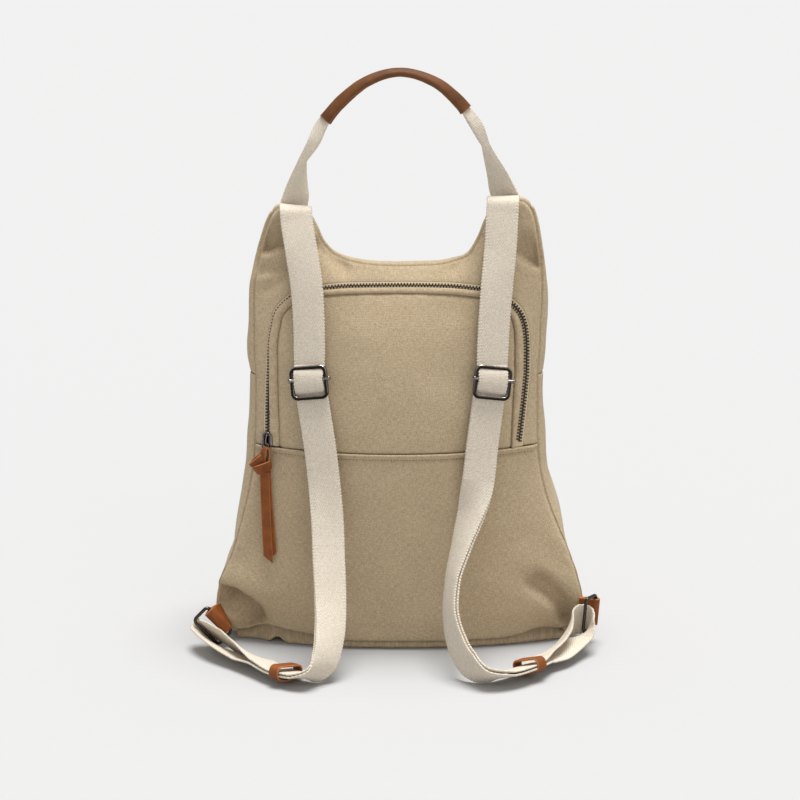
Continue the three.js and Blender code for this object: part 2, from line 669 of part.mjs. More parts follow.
function place(mesh, frame) {
  mesh.position.copy(frame.position);
  mesh.quaternion.copy(frame.quaternion);
}

function roundedRectangle(path, width, height, radius) {
  const [w, h] = [width / 2, height / 2];
  path.moveTo(w, -h + radius);
  path.lineTo(w, h - radius);
  path.absarc(w - radius, h - radius, radius, 0, Math.PI / 2);
  path.lineTo(-w + radius, h);
  path.absarc(-w + radius, h - radius, radius, Math.PI / 2, Math.PI);
  path.lineTo(-w, -h + radius);
  path.absarc(-w + radius, -h + radius, radius, Math.PI, 1.5 * Math.PI);
  path.lineTo(w - radius, -h);
  path.absarc(w - radius, -h + radius, radius, 1.5 * Math.PI, 2 * Math.PI);
  return path;
}

// Slider frame with holes for its loose bar, its underside at z = 0.
function sliderGeometry() {
  const shape = roundedRectangle(new THREE.Shape(), SLIDER.width, SLIDER.height, SLIDER.corner);
  const side = (SLIDER.width - SLIDER.windowWidth) / 2;
  shape.holes.push(roundedRectangle(new THREE.Path(), SLIDER.windowWidth, SLIDER.windowHeight, SLIDER.corner - side));
  const frame = new THREE.ExtrudeGeometry(shape, { depth: SLIDER.depth, bevelEnabled: false, curveSegments: 4 });
  const drill = new THREE.CylinderGeometry(BAR.hole, BAR.hole, SLIDER.width + 4, 10);
  drill.rotateZ(Math.PI / 2).translate(0, 0, SLIDER.depth / 2);
  return fromSolid(solid(frame).subtract(solid(drill)));
}

function barGeometry() {
  const dome = BAR.radius * 0.6;
  const profile = [
    [0, -BAR.length / 2],
    [BAR.radius * 0.75, -BAR.length / 2 + dome * 0.3],
    [BAR.radius, -BAR.length / 2 + dome],
    [BAR.radius, BAR.length / 2 - dome],
    [BAR.radius * 0.75, BAR.length / 2 - dome * 0.3],
    [0, BAR.length / 2],
  ].map(([x, y]) => new THREE.Vector2(x, y));
  return new THREE.LatheGeometry(profile, 10).rotateZ(Math.PI / 2);
}

function ringGeometry() {
  const path = roundedRectangle(new THREE.Path(), RING.long + 2 * RING.wire, RING.short + 2 * RING.wire, RING.corner);
  const outline = path.getPoints(3).filter((p, i, all) => i === 0 || p.distanceTo(all[i - 1]) > 1e-6);
  if (outline[0].distanceTo(outline.at(-1)) < 1e-6) outline.pop();
  const count = outline.length;
  const rings = outline.map((p, i) => {
    const tangent = outline[(i + 1) % count].clone().sub(outline[(i + count - 1) % count]).normalize();
    const normal = new THREE.Vector3(tangent.y, -tangent.x, 0);
    return steps(0, 5, 5).map((k) => {
      const angle = (k * Math.PI) / 3;
      const centre = new THREE.Vector3(p.x, p.y, 0);
      return centre.addScaledVector(normal, RING.wire * Math.cos(angle)).setZ(RING.wire * Math.sin(angle));
    });
  });
  return sweepGeometry(rings, true);
}

// Loop of leather round both layers of webbing, its bore along its own z.
function keeperGeometry() {
  const ring = (width, high) => {
    const path = roundedRectangle(new THREE.Path(), width, high, high * 0.3);
    const all = path.getPoints(3).filter((p, i, points) => i === 0 || p.distanceTo(points[i - 1]) > 1e-6);
    if (all[0].distanceTo(all.at(-1)) < 1e-6) all.pop();
    return all;
  };
  const grid = (points) =>
    [-KEEPER.long / 2, KEEPER.long / 2].map((z) => points.map((p) => new THREE.Vector3(p.x, p.y, z)));
  const thick = 2 * KEEPER.wall;
  return wallGeometry(grid(ring(KEEPER.across + thick, KEEPER.high + thick)), grid(ring(KEEPER.across, KEEPER.high)), true);
}

// The last row of a strap, set so that the webbing turns round the ring's bar.
function hooked(side, rows) {
  const { webBar } = cornerAt(side);
  const last = rows.at(-1);
  const before = new THREE.Vector3(rows.at(-2).x, rows.at(-2).y, rows.at(-2).z);
  const away = before.sub(webBar).normalize();
  const end = webBar.addScaledVector(away, 0.5 * (last.gap / 2 - WEB_THICK / 2 - RING.wire));
  return [...rows.slice(0, -1), { ...last, x: end.x, y: end.y, z: end.z }];
}

function strap(side, table) {
  const rows = hooked(side, table);
  add(`shoulder_strap_${side}`, sweepGeometry(strapRings(rows)), webbing);
  const at = spine(rows);
  const p = at(SLIDER_ROW);
  const floor = rows[SLIDER_ROW].gap / 2 + WEB_THICK / 2 + SLIDER_FLOOR - WEB_THICK;
  const centre = p.centre.clone().addScaledVector(p.normal, floor);
  place(add(`strap_slider_${side}`, sliderGeometry(), gunmetal), frameAt(p, centre));
  const middle = centre.clone().addScaledVector(p.normal, SLIDER.depth / 2);
  place(add(`slider_bar_${side}`, barGeometry(), gunmetal), frameAt(p, middle));
  const k = at(KEEPER_ROW[side]);
  const loop = add(`strap_keeper_${side}`, keeperGeometry(), tanLeather);
  const basis = new THREE.Matrix4().makeBasis(k.across, k.normal, new THREE.Vector3().crossVectors(k.across, k.normal));
  const seat = k.centre.clone().addScaledVector(k.normal, -KEEPER_RISE);
  place(loop, { position: seat, quaternion: new THREE.Quaternion().setFromRotationMatrix(basis) });
}

// Where the tab's bar, the ring and its webbing bar lie at one bottom corner.
function cornerAt(side) {
  const c = CORNERS[side];
  const along = new THREE.Vector3(...c.along).normalize();
  const outward = new THREE.Vector3(...c.outward);
  outward.addScaledVector(along, -outward.dot(along)).normalize();
  const normal = new THREE.Vector3().crossVectors(along, outward);
  const root = new THREE.Vector3(...c.root);
  const bar = root.clone().addScaledVector(outward, c.length);
  const swing = outward.clone().applyAxisAngle(along, THREE.MathUtils.degToRad(c.turn));
  const across = RING.short + 2 * RING.wire;
  return { along, outward, normal, root, bar, swing, webBar: bar.clone().addScaledVector(swing, across) };
}

// Leather tab folded round one bar of the bottom ring, and the ring.
function corner(side) {
  const { along, outward, normal, root, bar, swing, webBar } = cornerAt(side);
  const seam = new THREE.Vector3(...CORNERS[side].seam).normalize();
  const fold = RING.wire + CLEAR + LEATHER / 2;
  const pinch = (sign) => root.clone().addScaledVector(normal, sign * (LEATHER / 2 + 0.2));
  const rings = [flatRing(pinch(1), seam, normal, TAB_WIDTH, LEATHER)];
  for (const angle of steps(0, Math.PI, 8)) {
    const away = normal.clone().multiplyScalar(Math.cos(angle)).addScaledVector(outward, Math.sin(angle));
    rings.push(flatRing(bar.clone().addScaledVector(away, fold), along, away, TAB_WIDTH, LEATHER));
  }
  rings.push(flatRing(pinch(-1), seam, normal.clone().negate(), TAB_WIDTH, LEATHER));
  add(`ring_tab_${side}`, sweepGeometry(rings), tanLeather);
  const basis = new THREE.Matrix4().makeBasis(along, swing, new THREE.Vector3().crossVectors(along, swing));
  place(add(`strap_ring_${side}`, ringGeometry(), gunmetal), {
    position: bar.clone().lerp(webBar, 0.5),
    quaternion: new THREE.Quaternion().setFromRotationMatrix(basis),
  });
}

function handle() {
  const at = spine(HANDLE);
  const last = HANDLE.length - 1;
  const rings = steps(0, last, last * 3).map((row) => {
    const p = at(row);
    return flatRing(p.centre, p.across, p.normal, p.mix("width"), p.mix("thick"));
  });
  add("handle_webbing", sweepGeometry(rings), webbing);
  const oval = (row, grow) => {
    const p = at(row);
    const round = (v) => Math.sign(v) * Math.abs(v) ** 0.6;
    return steps(0, 11, 11).map((k) => {
      const angle = (k * Math.PI) / 6;
      return p.centre
        .clone()
        .addScaledVector(p.across, (WRAP.half + grow) * round(Math.cos(angle)))
        .addScaledVector(p.normal, (WRAP.high + grow) * round(Math.sin(angle)));
    });
  };
  const rows = steps(WRAP.from, WRAP.to, 12);
  add("handle_wrap", wallGeometry(rows.map((r) => oval(r, LEATHER)), rows.map((r) => oval(r, 0)), true), tanLeather);
}

// Slider body on the chain's left foot, with a bail; the knotted pull hangs from it.
function zipPull() {
  const foot = zipLine(2 * ZIP_TOP - 0.3, 0);
  const seat = onBack(foot);
  const slope = (backAt(foot.x + 3, foot.z) - backAt(foot.x - 3, foot.z)) / 6;
  const turn = Math.atan(slope);
  const body = roundedRectangle(new THREE.Shape(), 8.6, 12, 2.6);
  const block = new THREE.ExtrudeGeometry(body, { depth: 2.8, bevelEnabled: false, curveSegments: 3 });
  const rise = 0.85;
  block.translate(0, 0, rise);
  const bailRing = steps(0, 9, 9).map((k) => {
    const angle = (k * Math.PI) / 9;
    const centre = new THREE.Vector3(0, -1.5 - 4 * Math.cos(angle), rise + 2.4 + 3.2 * Math.sin(angle));
    const out = new THREE.Vector3(0, -Math.cos(angle), Math.sin(angle));
    return flatRing(centre, new THREE.Vector3(1, 0, 0), out, 3, 1.4);
  });
  const slider = fromSolid(solid(block).add(solid(sweepGeometry(bailRing))));
  slider.rotateX(Math.PI / 2).rotateZ(turn).translate(seat.x, seat.y, seat.z);
  add("zip_slider", slider, gunmetal);

  const knot = new THREE.LatheGeometry(
    [[0, -6.2], [3.6, -5.4], [5.6, -2.4], [6.2, 0.4], [5, 3.6], [2.6, 5.6], [0, 6]].map(([x, y]) => new THREE.Vector2(x, y)),
    12,
  );
  const knotAt = onBack({ x: PULL.x, z: PULL.knotZ }, -7.4);
  knot.scale(1.12, 1, 0.72).translate(knotAt.x, knotAt.y, knotAt.z);
  const strip = (points, width, thick) => {
    const curve = new THREE.CatmullRomCurve3(points, false, "centripetal");
    const rings = steps(0, 1, 10).map((t) => {
      const tangent = curve.getTangent(t);
      const across = new THREE.Vector3(1, 0, 0).addScaledVector(tangent, -tangent.x).normalize();
      return flatRing(curve.getPoint(t), across, new THREE.Vector3().crossVectors(tangent, across), width, thick);
    });
    return solid(sweepGeometry(rings));
  };
  const hang = (shift, off, length) =>
    steps(0, 1, 5).map((t) => onBack({ x: PULL.x + shift * t, z: PULL.knotZ - 3 - length * t }, -off - 3 * (1 - t)));
  const tails = [hang(1.5, 5.2, PULL.tail), hang(4.5, 2.4, PULL.tail - 2)].map((run) => strip(run, PULL.width, 1.6));
  const bail = new THREE.Vector3(seat.x, seat.y - 7.2, seat.z - 8.4);
  const loop = strip([knotAt.clone().add(new THREE.Vector3(0, -1, 3)), bail.clone().add(new THREE.Vector3(-0.4, -0.4, -2.6)), bail], 5.6, 1.6);
  let pull = solid(knot).add(loop);
  for (const tail of tails) pull = pull.add(tail);
  add("zip_pull", fromSolid(pull), tanLeather);
}

frontPanel();
backLower();
backSurround();
backFlap();
zip();
gussets();
strap("left", LEFT_STRAP);
strap("right", RIGHT_STRAP);
corner("left");
corner("right");
handle();
zipPull();

export default bag;
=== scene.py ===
import bpy
import numpy as np
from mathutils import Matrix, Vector


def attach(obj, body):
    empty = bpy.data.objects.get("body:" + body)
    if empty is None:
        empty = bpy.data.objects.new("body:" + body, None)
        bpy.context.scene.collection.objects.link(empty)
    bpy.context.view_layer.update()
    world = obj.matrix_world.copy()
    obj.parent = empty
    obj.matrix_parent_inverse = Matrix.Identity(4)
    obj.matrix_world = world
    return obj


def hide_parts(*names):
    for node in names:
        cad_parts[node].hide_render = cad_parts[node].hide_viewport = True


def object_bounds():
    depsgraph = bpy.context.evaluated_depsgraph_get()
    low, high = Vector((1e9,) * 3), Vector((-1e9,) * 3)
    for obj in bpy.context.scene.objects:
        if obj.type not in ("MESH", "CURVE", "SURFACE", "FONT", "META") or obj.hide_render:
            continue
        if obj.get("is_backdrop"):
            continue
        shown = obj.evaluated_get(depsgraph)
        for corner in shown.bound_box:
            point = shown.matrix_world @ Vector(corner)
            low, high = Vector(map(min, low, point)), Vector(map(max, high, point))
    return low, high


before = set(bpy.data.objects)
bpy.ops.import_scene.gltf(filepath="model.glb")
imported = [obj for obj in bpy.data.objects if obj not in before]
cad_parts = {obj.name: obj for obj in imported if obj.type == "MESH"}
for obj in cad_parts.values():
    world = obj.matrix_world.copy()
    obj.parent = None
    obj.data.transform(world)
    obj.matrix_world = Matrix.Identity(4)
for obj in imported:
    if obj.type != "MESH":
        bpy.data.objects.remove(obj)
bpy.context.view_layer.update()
scene = bpy.context.scene
print("frame:", len(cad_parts), "solids")

# Camera, floor and light
view = {"stand": (-0.0008, -2.180, 0.7751), "aim": (-0.0008, -0.055, 0.2057), "lens": 123.75,
        "sensor": 36, "farthest": 60}
camera = bpy.data.objects.new("camera", bpy.data.cameras.new("camera"))
camera.data.lens = view["lens"]
camera.data.sensor_width = view["sensor"]
camera.data.clip_end = view["farthest"]
camera.location = view["stand"]
camera.rotation_euler = (Vector(view["aim"]) - Vector(view["stand"])).to_track_quat("-Z", "Y").to_euler()
scene.collection.objects.link(camera)
scene.camera = camera
scene.view_settings.view_transform = "Standard"
scene.view_settings.look = "None"

studio = {
    "sky": 0.55,
    "suns": [  # where the light comes from, its strength and how wide it is in degrees
        {"name": "overheadLight", "from": (0.08, 0.07, 1.0), "strength": 4.3, "spread": 34,
         "color": (1, 1, 1)},
        {"name": "frontFill", "from": (0.6, -1.0, 0.15), "strength": 0.52, "spread": 60,
         "color": (1, 0.88, 0.81)},
    ],
    "floorReach": 12.0, "floorZ": -0.0003, "floorTone": 0.455,
}
world = bpy.data.worlds.new("studioSky")
world.use_nodes = True
world.node_tree.nodes["Background"].inputs["Color"].default_value = (1, 1, 1, 1)
world.node_tree.nodes["Background"].inputs["Strength"].default_value = studio["sky"]
scene.world = world
for sun in studio["suns"]:
    lamp = bpy.data.lights.new(sun["name"], "SUN")
    lamp.energy = sun["strength"]
    lamp.color = sun["color"]
    lamp.angle = np.radians(sun["spread"])
    lampObject = bpy.data.objects.new(sun["name"], lamp)
    lampObject.rotation_euler = (-Vector(sun["from"])).to_track_quat("-Z", "Y").to_euler()
    scene.collection.objects.link(lampObject)


# Curves and soft heights

def curveAt(points, rows):
    # Centripetal Catmull-Rom through the points, at row numbers that may lie between them:
    # place and direction.
    points = np.asarray(points, float)
    rows = np.asarray(rows, float)
    ends = np.vstack([2 * points[:1] - points[1:2], points, 2 * points[-1:] - points[-2:-1]])
    cell = np.clip(np.floor(rows).astype(int), 0, len(points) - 2)
    t = (rows - cell)[..., None]
    p0, p1, p2, p3 = (ends[cell + k] for k in range(4))
    d0, d1, d2 = (
        np.sqrt(np.maximum(np.linalg.norm(b - a, axis=-1, keepdims=True), 1e-4))
        for a, b in ((p0, p1), (p1, p2), (p2, p3))
    )
    m1 = d1 * ((p1 - p0) / d0 - (p2 - p0) / (d0 + d1)) + p2 - p1
    m2 = d1 * ((p3 - p2) / d2 - (p3 - p1) / (d1 + d2)) + p2 - p1
    c2 = 3 * (p2 - p1) - 2 * m1 - m2
    c3 = 2 * (p1 - p2) + m1 + m2
    slope = m1 + t * (2 * c2 + 3 * t * c3)
    return p1 + t * (m1 + t * (c2 + t * c3)), unit(slope)


def tableAt(xs, ys, at):
    # Cubic through a table, each row's slope taken between its two neighbours.
    xs, ys = (np.asarray(v, float) for v in (xs, ys))
    last = len(xs) - 1
    low, high = np.maximum(np.arange(last + 1) - 1, 0), np.minimum(np.arange(last + 1) + 1, last)
    slopes = (ys[high] - ys[low]) / (xs[high] - xs[low])
    cell = np.clip(np.searchsorted(xs, at, side="right") - 1, 0, last - 1)
    span = xs[cell + 1] - xs[cell]
    u = np.clip((at - xs[cell]) / span, 0, 1)
    h = u * u * (3 - 2 * u)
    bend = u * (1 - u) ** 2 * slopes[cell] - u * u * (1 - u) * slopes[cell + 1]
    return ys[cell] * (1 - h) + ys[cell + 1] * h + span * bend


def smoothStep(at, low, high):
    # 0 below low, 1 above high, easing between.
    t = np.clip((at - low) / (high - low), 0, 1)
    return t * t * (3 - 2 * t)


def bell(distance):
    # 1 at 0, falling off both ways by the exponential of minus the square.
    return np.exp(-(distance**2))


def softNoise(u, v, size, seed):
    # Seeded heights from -1 to 1 on a square lattice of that size, blended by a quintic.
    lattice = np.random.default_rng(seed).uniform(-1, 1, (64, 64))
    a, b = np.broadcast_arrays(u / size + 17.3, v / size + 11.7)
    i, j = np.floor(a).astype(int), np.floor(b).astype(int)
    s, t = a - i, b - j
    s = s**3 * (s * (s * 6 - 15) + 10)
    t = t**3 * (t * (t * 6 - 15) + 10)
    corner = [lattice[(i + di) % 64, (j + dj) % 64] for di, dj in ((0, 0), (1, 0), (0, 1), (1, 1))]
    return (corner[0] * (1 - s) + corner[1] * s) * (1 - t) + (corner[2] * (1 - s) + corner[3] * s) * t


def unit(vectors):
    # Vectors made one long.
    return vectors / np.maximum(np.linalg.norm(vectors, axis=-1, keepdims=True), 1e-9)


def runAlong(points):
    # Length of a polyline up to each of its points.
    return np.r_[0, np.cumsum(np.linalg.norm(np.diff(points, axis=0), axis=1))]


def circle(steps):
    # Cosine and sine at even steps round a full turn.
    turn = np.linspace(0, 2 * np.pi, steps + 1)[:-1]
    return np.stack([np.cos(turn), np.sin(turn)], -1)


def blunted(values, power):
    # Sines or cosines to a power below 1 with their sign kept, which squares off a circle.
    return np.sign(values) * np.abs(values) ** power


def mapUv(u, v):
    # Map in metres from two measures in millimetres.
    return np.stack(np.broadcast_arrays(u, v), -1) * 0.001


def lerp(a, b, t):
    # Straight blend from a to b.
    return a + (b - a) * t


def gradedSteps(length, edge, fine, coarse):
    # Shares from 0 to 1 of a length in coarse steps, with fine steps within edge of both ends.
    low = np.arange(0, edge - 1e-6, fine)
    inner = np.linspace(edge, length - edge, max(2, int(round((length - 2 * edge) / coarse))))
    return np.concatenate([low, inner, length - low[::-1]]) / length


# Meshes

def gridUv(points, around, loop):
    # Mean arc lengths along columns and rows, in metres.
    if around:
        points = np.concatenate([points, points[:, :1]], 1)
    if loop:
        points = np.concatenate([points, points[:1]], 0)
    u = np.r_[0, np.cumsum(np.linalg.norm(np.diff(points, axis=1), axis=2).mean(0))]
    v = np.r_[0, np.cumsum(np.linalg.norm(np.diff(points, axis=0), axis=2).mean(1))]
    return np.stack(np.meshgrid(u, v), -1) * 0.001


def surface(points, uv=None, rim=None, around=False, loop=False, caps=False):
    # Four-cornered cells of a grid of points; around joins its last column to the first, loop its last row
    # to the first, and caps closes both ends.
    rows, columns = points.shape[:2]
    i = np.arange(rows if loop else rows - 1)[:, None]
    j = np.arange(columns if around else columns - 1)[None, :]
    corners = ((0, 0), (0, 1), (1, 1), (1, 0))
    cells = np.stack([((i + a) % rows) * columns + (j + b) % columns for a, b in corners], -1)
    uv = gridUv(points, around, loop) if uv is None else uv
    cellUv = np.stack([uv[i + a, j + b] for a, b in corners], 2)
    faces = [cells.reshape(-1, 4)]
    faceUv = [cellUv.reshape(-1, 4, 2)]
    if caps:
        ring = np.arange(columns)
        for order in (ring[::-1], (rows - 1) * columns + ring):
            faces.append(order[None])
            faceUv.append(uv[:rows, :columns].reshape(-1, 2)[order][None])
    rim = np.zeros((rows, columns)) if rim is None else np.broadcast_to(rim, (rows, columns))
    return {"points": points.reshape(-1, 3), "faces": faces, "uv": faceUv, "rim": rim.ravel()}


def repeated(base, centres, axes):
    # Copies of one small closed part, turned to the three axes of each place.
    points = centres[:, None] + np.einsum("pk,nkc->npc", base["points"], axes)
    shift = (len(base["points"]) * np.arange(len(centres)))[:, None, None]
    return {
        "points": points.reshape(-1, 3),
        "faces": [(f[None] + shift).reshape(-1, f.shape[1]) for f in base["faces"]],
        "uv": [np.tile(u, (len(centres), 1, 1)) for u in base["uv"]],
        "rim": np.tile(base["rim"], len(centres)),
    }


def outwardShare(part, centre):
    # Sum over the faces of area times distance from the centre: negative where the part is inside out.
    total = 0.0
    for cells in part["faces"]:
        p = part["points"][cells]
        normals = np.cross(p, np.roll(p, -1, axis=1)).sum(1)
        total += ((p.mean(1) - centre) * normals).sum()
    return total


def addPiece(name, parts, material, nodes=(), centre=None, wall=0.0, sharp=None):
    # Joins the parts into one mesh with outward faces, at the frame's origin, and ties it to the frame.
    starts = np.cumsum([0] + [len(p["points"]) for p in parts])
    points = np.concatenate([p["points"] for p in parts])
    loops, sizes, uvs = [], [], []
    for part, start in zip(parts, starts):
        middle = part["points"].mean(0) if centre is None else np.asarray(centre, float)
        step = -1 if outwardShare(part, middle) < 0 else 1
        for cells, uv in zip(part["faces"], part["uv"]):
            loops.append(cells[:, ::step].ravel() + start)
            uvs.append(uv[:, ::step].reshape(-1, 2))
            sizes.append(np.full(len(cells), cells.shape[1]))
    loops, sizes = np.concatenate(loops).astype(np.int32), np.concatenate(sizes)
    mesh = bpy.data.meshes.new(name)
    mesh.vertices.add(len(points))
    mesh.vertices.foreach_set("co", (points * 0.001).astype(np.float32).ravel())
    mesh.loops.add(len(loops))
    mesh.loops.foreach_set("vertex_index", loops)
    mesh.polygons.add(len(sizes))
    mesh.polygons.foreach_set("loop_start", (np.cumsum(sizes) - sizes).astype(np.int32))
    mesh.update(calc_edges=True)
    mesh.polygons.foreach_set("use_smooth", np.ones(len(sizes), bool))
    mesh.uv_layers.new(name="clothUv").data.foreach_set("uv", np.concatenate(uvs).astype(np.float32).ravel())
    rim = np.concatenate([p["rim"] for p in parts]).astype(np.float32)
    mesh.attributes.new("rim", "FLOAT", "POINT").data.foreach_set("value", rim)
    if sharp is not None:
        mesh.set_sharp_from_angle(angle=np.radians(sharp))
    mesh.materials.append(material)
    made = bpy.data.objects.new(name, mesh)
    scene.collection.objects.link(made)
    if wall:
        thicken = made.modifiers.new("wall", "SOLIDIFY")
        thicken.thickness = wall * 0.001
        thicken.offset = -1
    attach(made, "root")
    if nodes:
        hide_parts(*nodes)


def addSide(name, node, side, part, material, sharp=None):
    # One of two pieces that are named by their side.
    addPiece(name + side.title(), [part], material, [node + side], sharp=sharp)


def thinSection(width, thick, flatSteps, roundSteps=4):
    # Closed section of a band: two flat faces joined by half-round edges; the rim is 1 on those edges.
    radius = thick / 2
    flat = np.linspace(-1, 1, flatSteps) * (width / 2 - radius)
    turn = np.linspace(np.pi / 2, -np.pi / 2, roundSteps + 2)[1:-1]
    edge = np.stack([width / 2 - radius + radius * np.cos(turn), radius * np.sin(turn)], -1)
    top = np.stack([flat, np.full(flatSteps, radius)], -1)
    section = np.concatenate([top, edge, -top, -edge])
    rim = np.concatenate([np.zeros(flatSteps), np.ones(roundSteps)] * 2)
    return section, rim


def swept(centre, across, normal, section):
    # Section of (across, outwards) points carried along a path; it and both directions may differ by row.
    section = np.broadcast_to(section, (len(centre), *section.shape[-2:]))
    across, normal = (np.broadcast_to(v, centre.shape)[:, None] for v in (across, normal))
    return centre[:, None] + section[..., :1] * across + section[..., 1:] * normal


def tube(centre, across, normal, section, uv=None, rim=None, loop=False):
    # Closed section along a path that is either a loop or capped at both ends.
    return surface(swept(centre, across, normal, section), uv, rim, around=True, loop=loop, caps=not loop)


def squared(across, tangent):
    # The part of across that is square to the path.
    return unit(across - (across * tangent).sum(-1, keepdims=True) * tangent)


def spineAt(rows, at):
    # Place, tangent, across and outward normal along a table of x y z ax ay az.
    place, tangent = curveAt(rows[:, :3], at)
    across = np.stack([np.interp(at, np.arange(len(rows)), rows[:, k]) for k in (3, 4, 5)], -1)
    across = squared(across, tangent)
    return place, tangent, across, np.cross(tangent, across)


def evenRows(points, start, end, step):
    # Row numbers between start and end that lie an even step apart along the curve.
    fine = np.linspace(start, end, 3000)
    place, _ = curveAt(points, fine)
    run = runAlong(place)
    return np.interp(np.linspace(0, run[-1], int(run[-1] / step) + 1), run, fine)


def roundedLoop(width, height, corner, steps, cornerSteps):
    # Closed path of a rectangle with quarter-round corners, about its middle, with outward directions.
    w, h = width / 2 - corner, height / 2 - corner
    turn = np.linspace(0, np.pi / 2, cornerSteps)
    pieces, faces = [], []
    for k, (cx, cy) in enumerate(((w, h), (-w, h), (-w, -h), (w, -h))):
        angle = turn + k * np.pi / 2
        out = np.stack([np.cos(angle), np.sin(angle)], -1)
        pieces.append(np.array([cx, cy]) + corner * out)
        side = np.linspace(0, 1, steps + 2)[1:-1, None]
        nextStart = np.array([((-w, h), (-w, -h), (w, -h), (w, h))[k]]) + corner * out[-1]
        pieces.append(lerp(pieces[-1][-1], nextStart, side))
        faces += [out, np.repeat(out[-1:], steps, 0)]
    return np.concatenate(pieces), np.concatenate(faces)


# Shader helpers

def tone(red, green, blue):
    # Screen colour from 0 to 255 as the linear colour that shaders take.
    c = np.array([red, green, blue]) / 255
    linear = np.where(c <= 0.04045, c / 12.92, ((c + 0.055) / 1.055) ** 2.4)
    return (*(float(v) for v in linear), 1.0)


def feed(tree, sockets, values):
    # Gives each socket its value, or a link from another socket.
    for key, value in values.items():
        if isinstance(value, bpy.types.NodeSocket):
            tree.links.new(value, sockets[key])
        else:
            sockets[key].default_value = value


def put(tree, kind, inputs=None, **settings):
    # New shader node with its settings, values and links.
    made = tree.nodes.new("ShaderNode" + kind)
    for key, value in settings.items():
        setattr(made, key, value)
    feed(tree, made.inputs, inputs or {})
    return made


def calc(tree, operation, *values):
    # Result of a maths node on values or sockets.
    return put(tree, "Math", dict(enumerate(values)), operation=operation).outputs[0]


def blendColor(tree, share, first, second):
    # Colour between two by a share from 0 to 1.
    return put(tree, "Mix", {0: share, 6: first, 7: second}, data_type="RGBA").outputs[2]


def stretched(tree, vector, scale):
    # Place scaled by a factor of its own along each axis.
    return put(tree, "Mapping", {"Vector": vector, "Scale": scale}).outputs[0]


def noise(tree, vector, scale, detail=3.0, rough=0.55):
    # Layered noise from 0 to 1, mostly near one half.
    made = put(tree, "TexNoise", {"Vector": vector, "Scale": scale, "Detail": detail, "Roughness": rough})
    return made.outputs["Fac"]


def ranged(tree, value, low, high):
    # The middle of a noise, from 0.3 to 0.7, spread from low to high.
    return put(tree, "MapRange", {0: value, 1: 0.3, 2: 0.7, 3: low, 4: high}).outputs[0]


def newGroup(name, inputs, outputs):
    # Shader node group with named sockets; a socket is (name, kind, value).
    tree = bpy.data.node_groups.new(name, "ShaderNodeTree")
    for label, kind, value in inputs:
        socket = tree.interface.new_socket(label, in_out="INPUT", socket_type="NodeSocket" + kind)
        if value is not None:
            socket.default_value = value
    for label, kind in outputs:
        tree.interface.new_socket(label, in_out="OUTPUT", socket_type="NodeSocket" + kind)
    ends = tree.nodes.new("NodeGroupInput").outputs, tree.nodes.new("NodeGroupOutput").inputs
    return tree, *ends


def makeThreadWeave():
    # Ribs across u and along v, each a sine of its pitch in millimetres, with threads that wander a little.
    tree, given, out = newGroup(
        "threadWeave",
        [("Uv", "Vector", None), ("Across", "Float", 1.0), ("Along", "Float", 1.0), ("Slant", "Float", 0.0)],
        [("Height", "Float"), ("Shade", "Float")],
    )
    wander = noise(tree, given["Uv"], 420, 2.0)
    parts = put(tree, "SeparateXYZ", {0: given["Uv"]}).outputs
    fullTurn = 6283.2  # for every millimetre of a map in metres
    u, v = (calc(tree, "DIVIDE", calc(tree, "MULTIPLY", part, fullTurn), given[pitch])
            for part, pitch in zip(parts, ("Across", "Along")))
    loose = calc(tree, "MULTIPLY", wander, 5.0)
    first = calc(tree, "SINE", calc(tree, "ADD", calc(tree, "MULTIPLY_ADD", v, given["Slant"], u), loose))
    second = calc(tree, "SINE", calc(tree, "ADD", v, loose))
    both = calc(tree, "MULTIPLY_ADD", second, 0.45, first)
    height = calc(tree, "MULTIPLY_ADD", both, 0.34, 0.5)
    # Shade is painted shade: darker where the weave is low between the ribs, mixed with the threads' own
    # wandering tone
    shade = calc(tree, "MULTIPLY_ADD", wander, 0.6, calc(tree, "MULTIPLY", height, 0.4))
    feed(tree, out, {"Height": height, "Shade": shade})
    return tree


def makeClothMottle():
    # Colour between two tones by broad cloudiness and by thin slubs along both thread directions.
    tree, given, out = newGroup(
        "clothMottle",
        [("Uv", "Vector", None), ("Light", "Color", None), ("Dark", "Color", None), ("Slub", "Float", 0.5)],
        [("Color", "Color"), ("Roughness", "Float")],
    )
    cloud = noise(tree, given["Uv"], 26, 4.0)
    weft = noise(tree, stretched(tree, given["Uv"], (260, 1500, 1)), 1.0, 2.0)
    warp = noise(tree, stretched(tree, given["Uv"], (1500, 260, 1)), 1.0, 2.0)
    grain = noise(tree, given["Uv"], 900, 2.0)
    slubs = calc(tree, "SUBTRACT", calc(tree, "ADD", weft, warp), 1.0)
    uneven = calc(tree, "ADD", slubs, calc(tree, "SUBTRACT", grain, 0.5))
    slubs = calc(tree, "MULTIPLY", uneven, given["Slub"])
    share = calc(tree, "ADD", calc(tree, "MULTIPLY_ADD", cloud, 0.5, 0.25), slubs)
    limited = put(tree, "Clamp", {0: share}).outputs[0]
    color = blendColor(tree, limited, given["Dark"], given["Light"])
    feed(tree, out, {"Color": color, "Roughness": calc(tree, "MULTIPLY_ADD", limited, -0.12, 0.95)})
    return tree


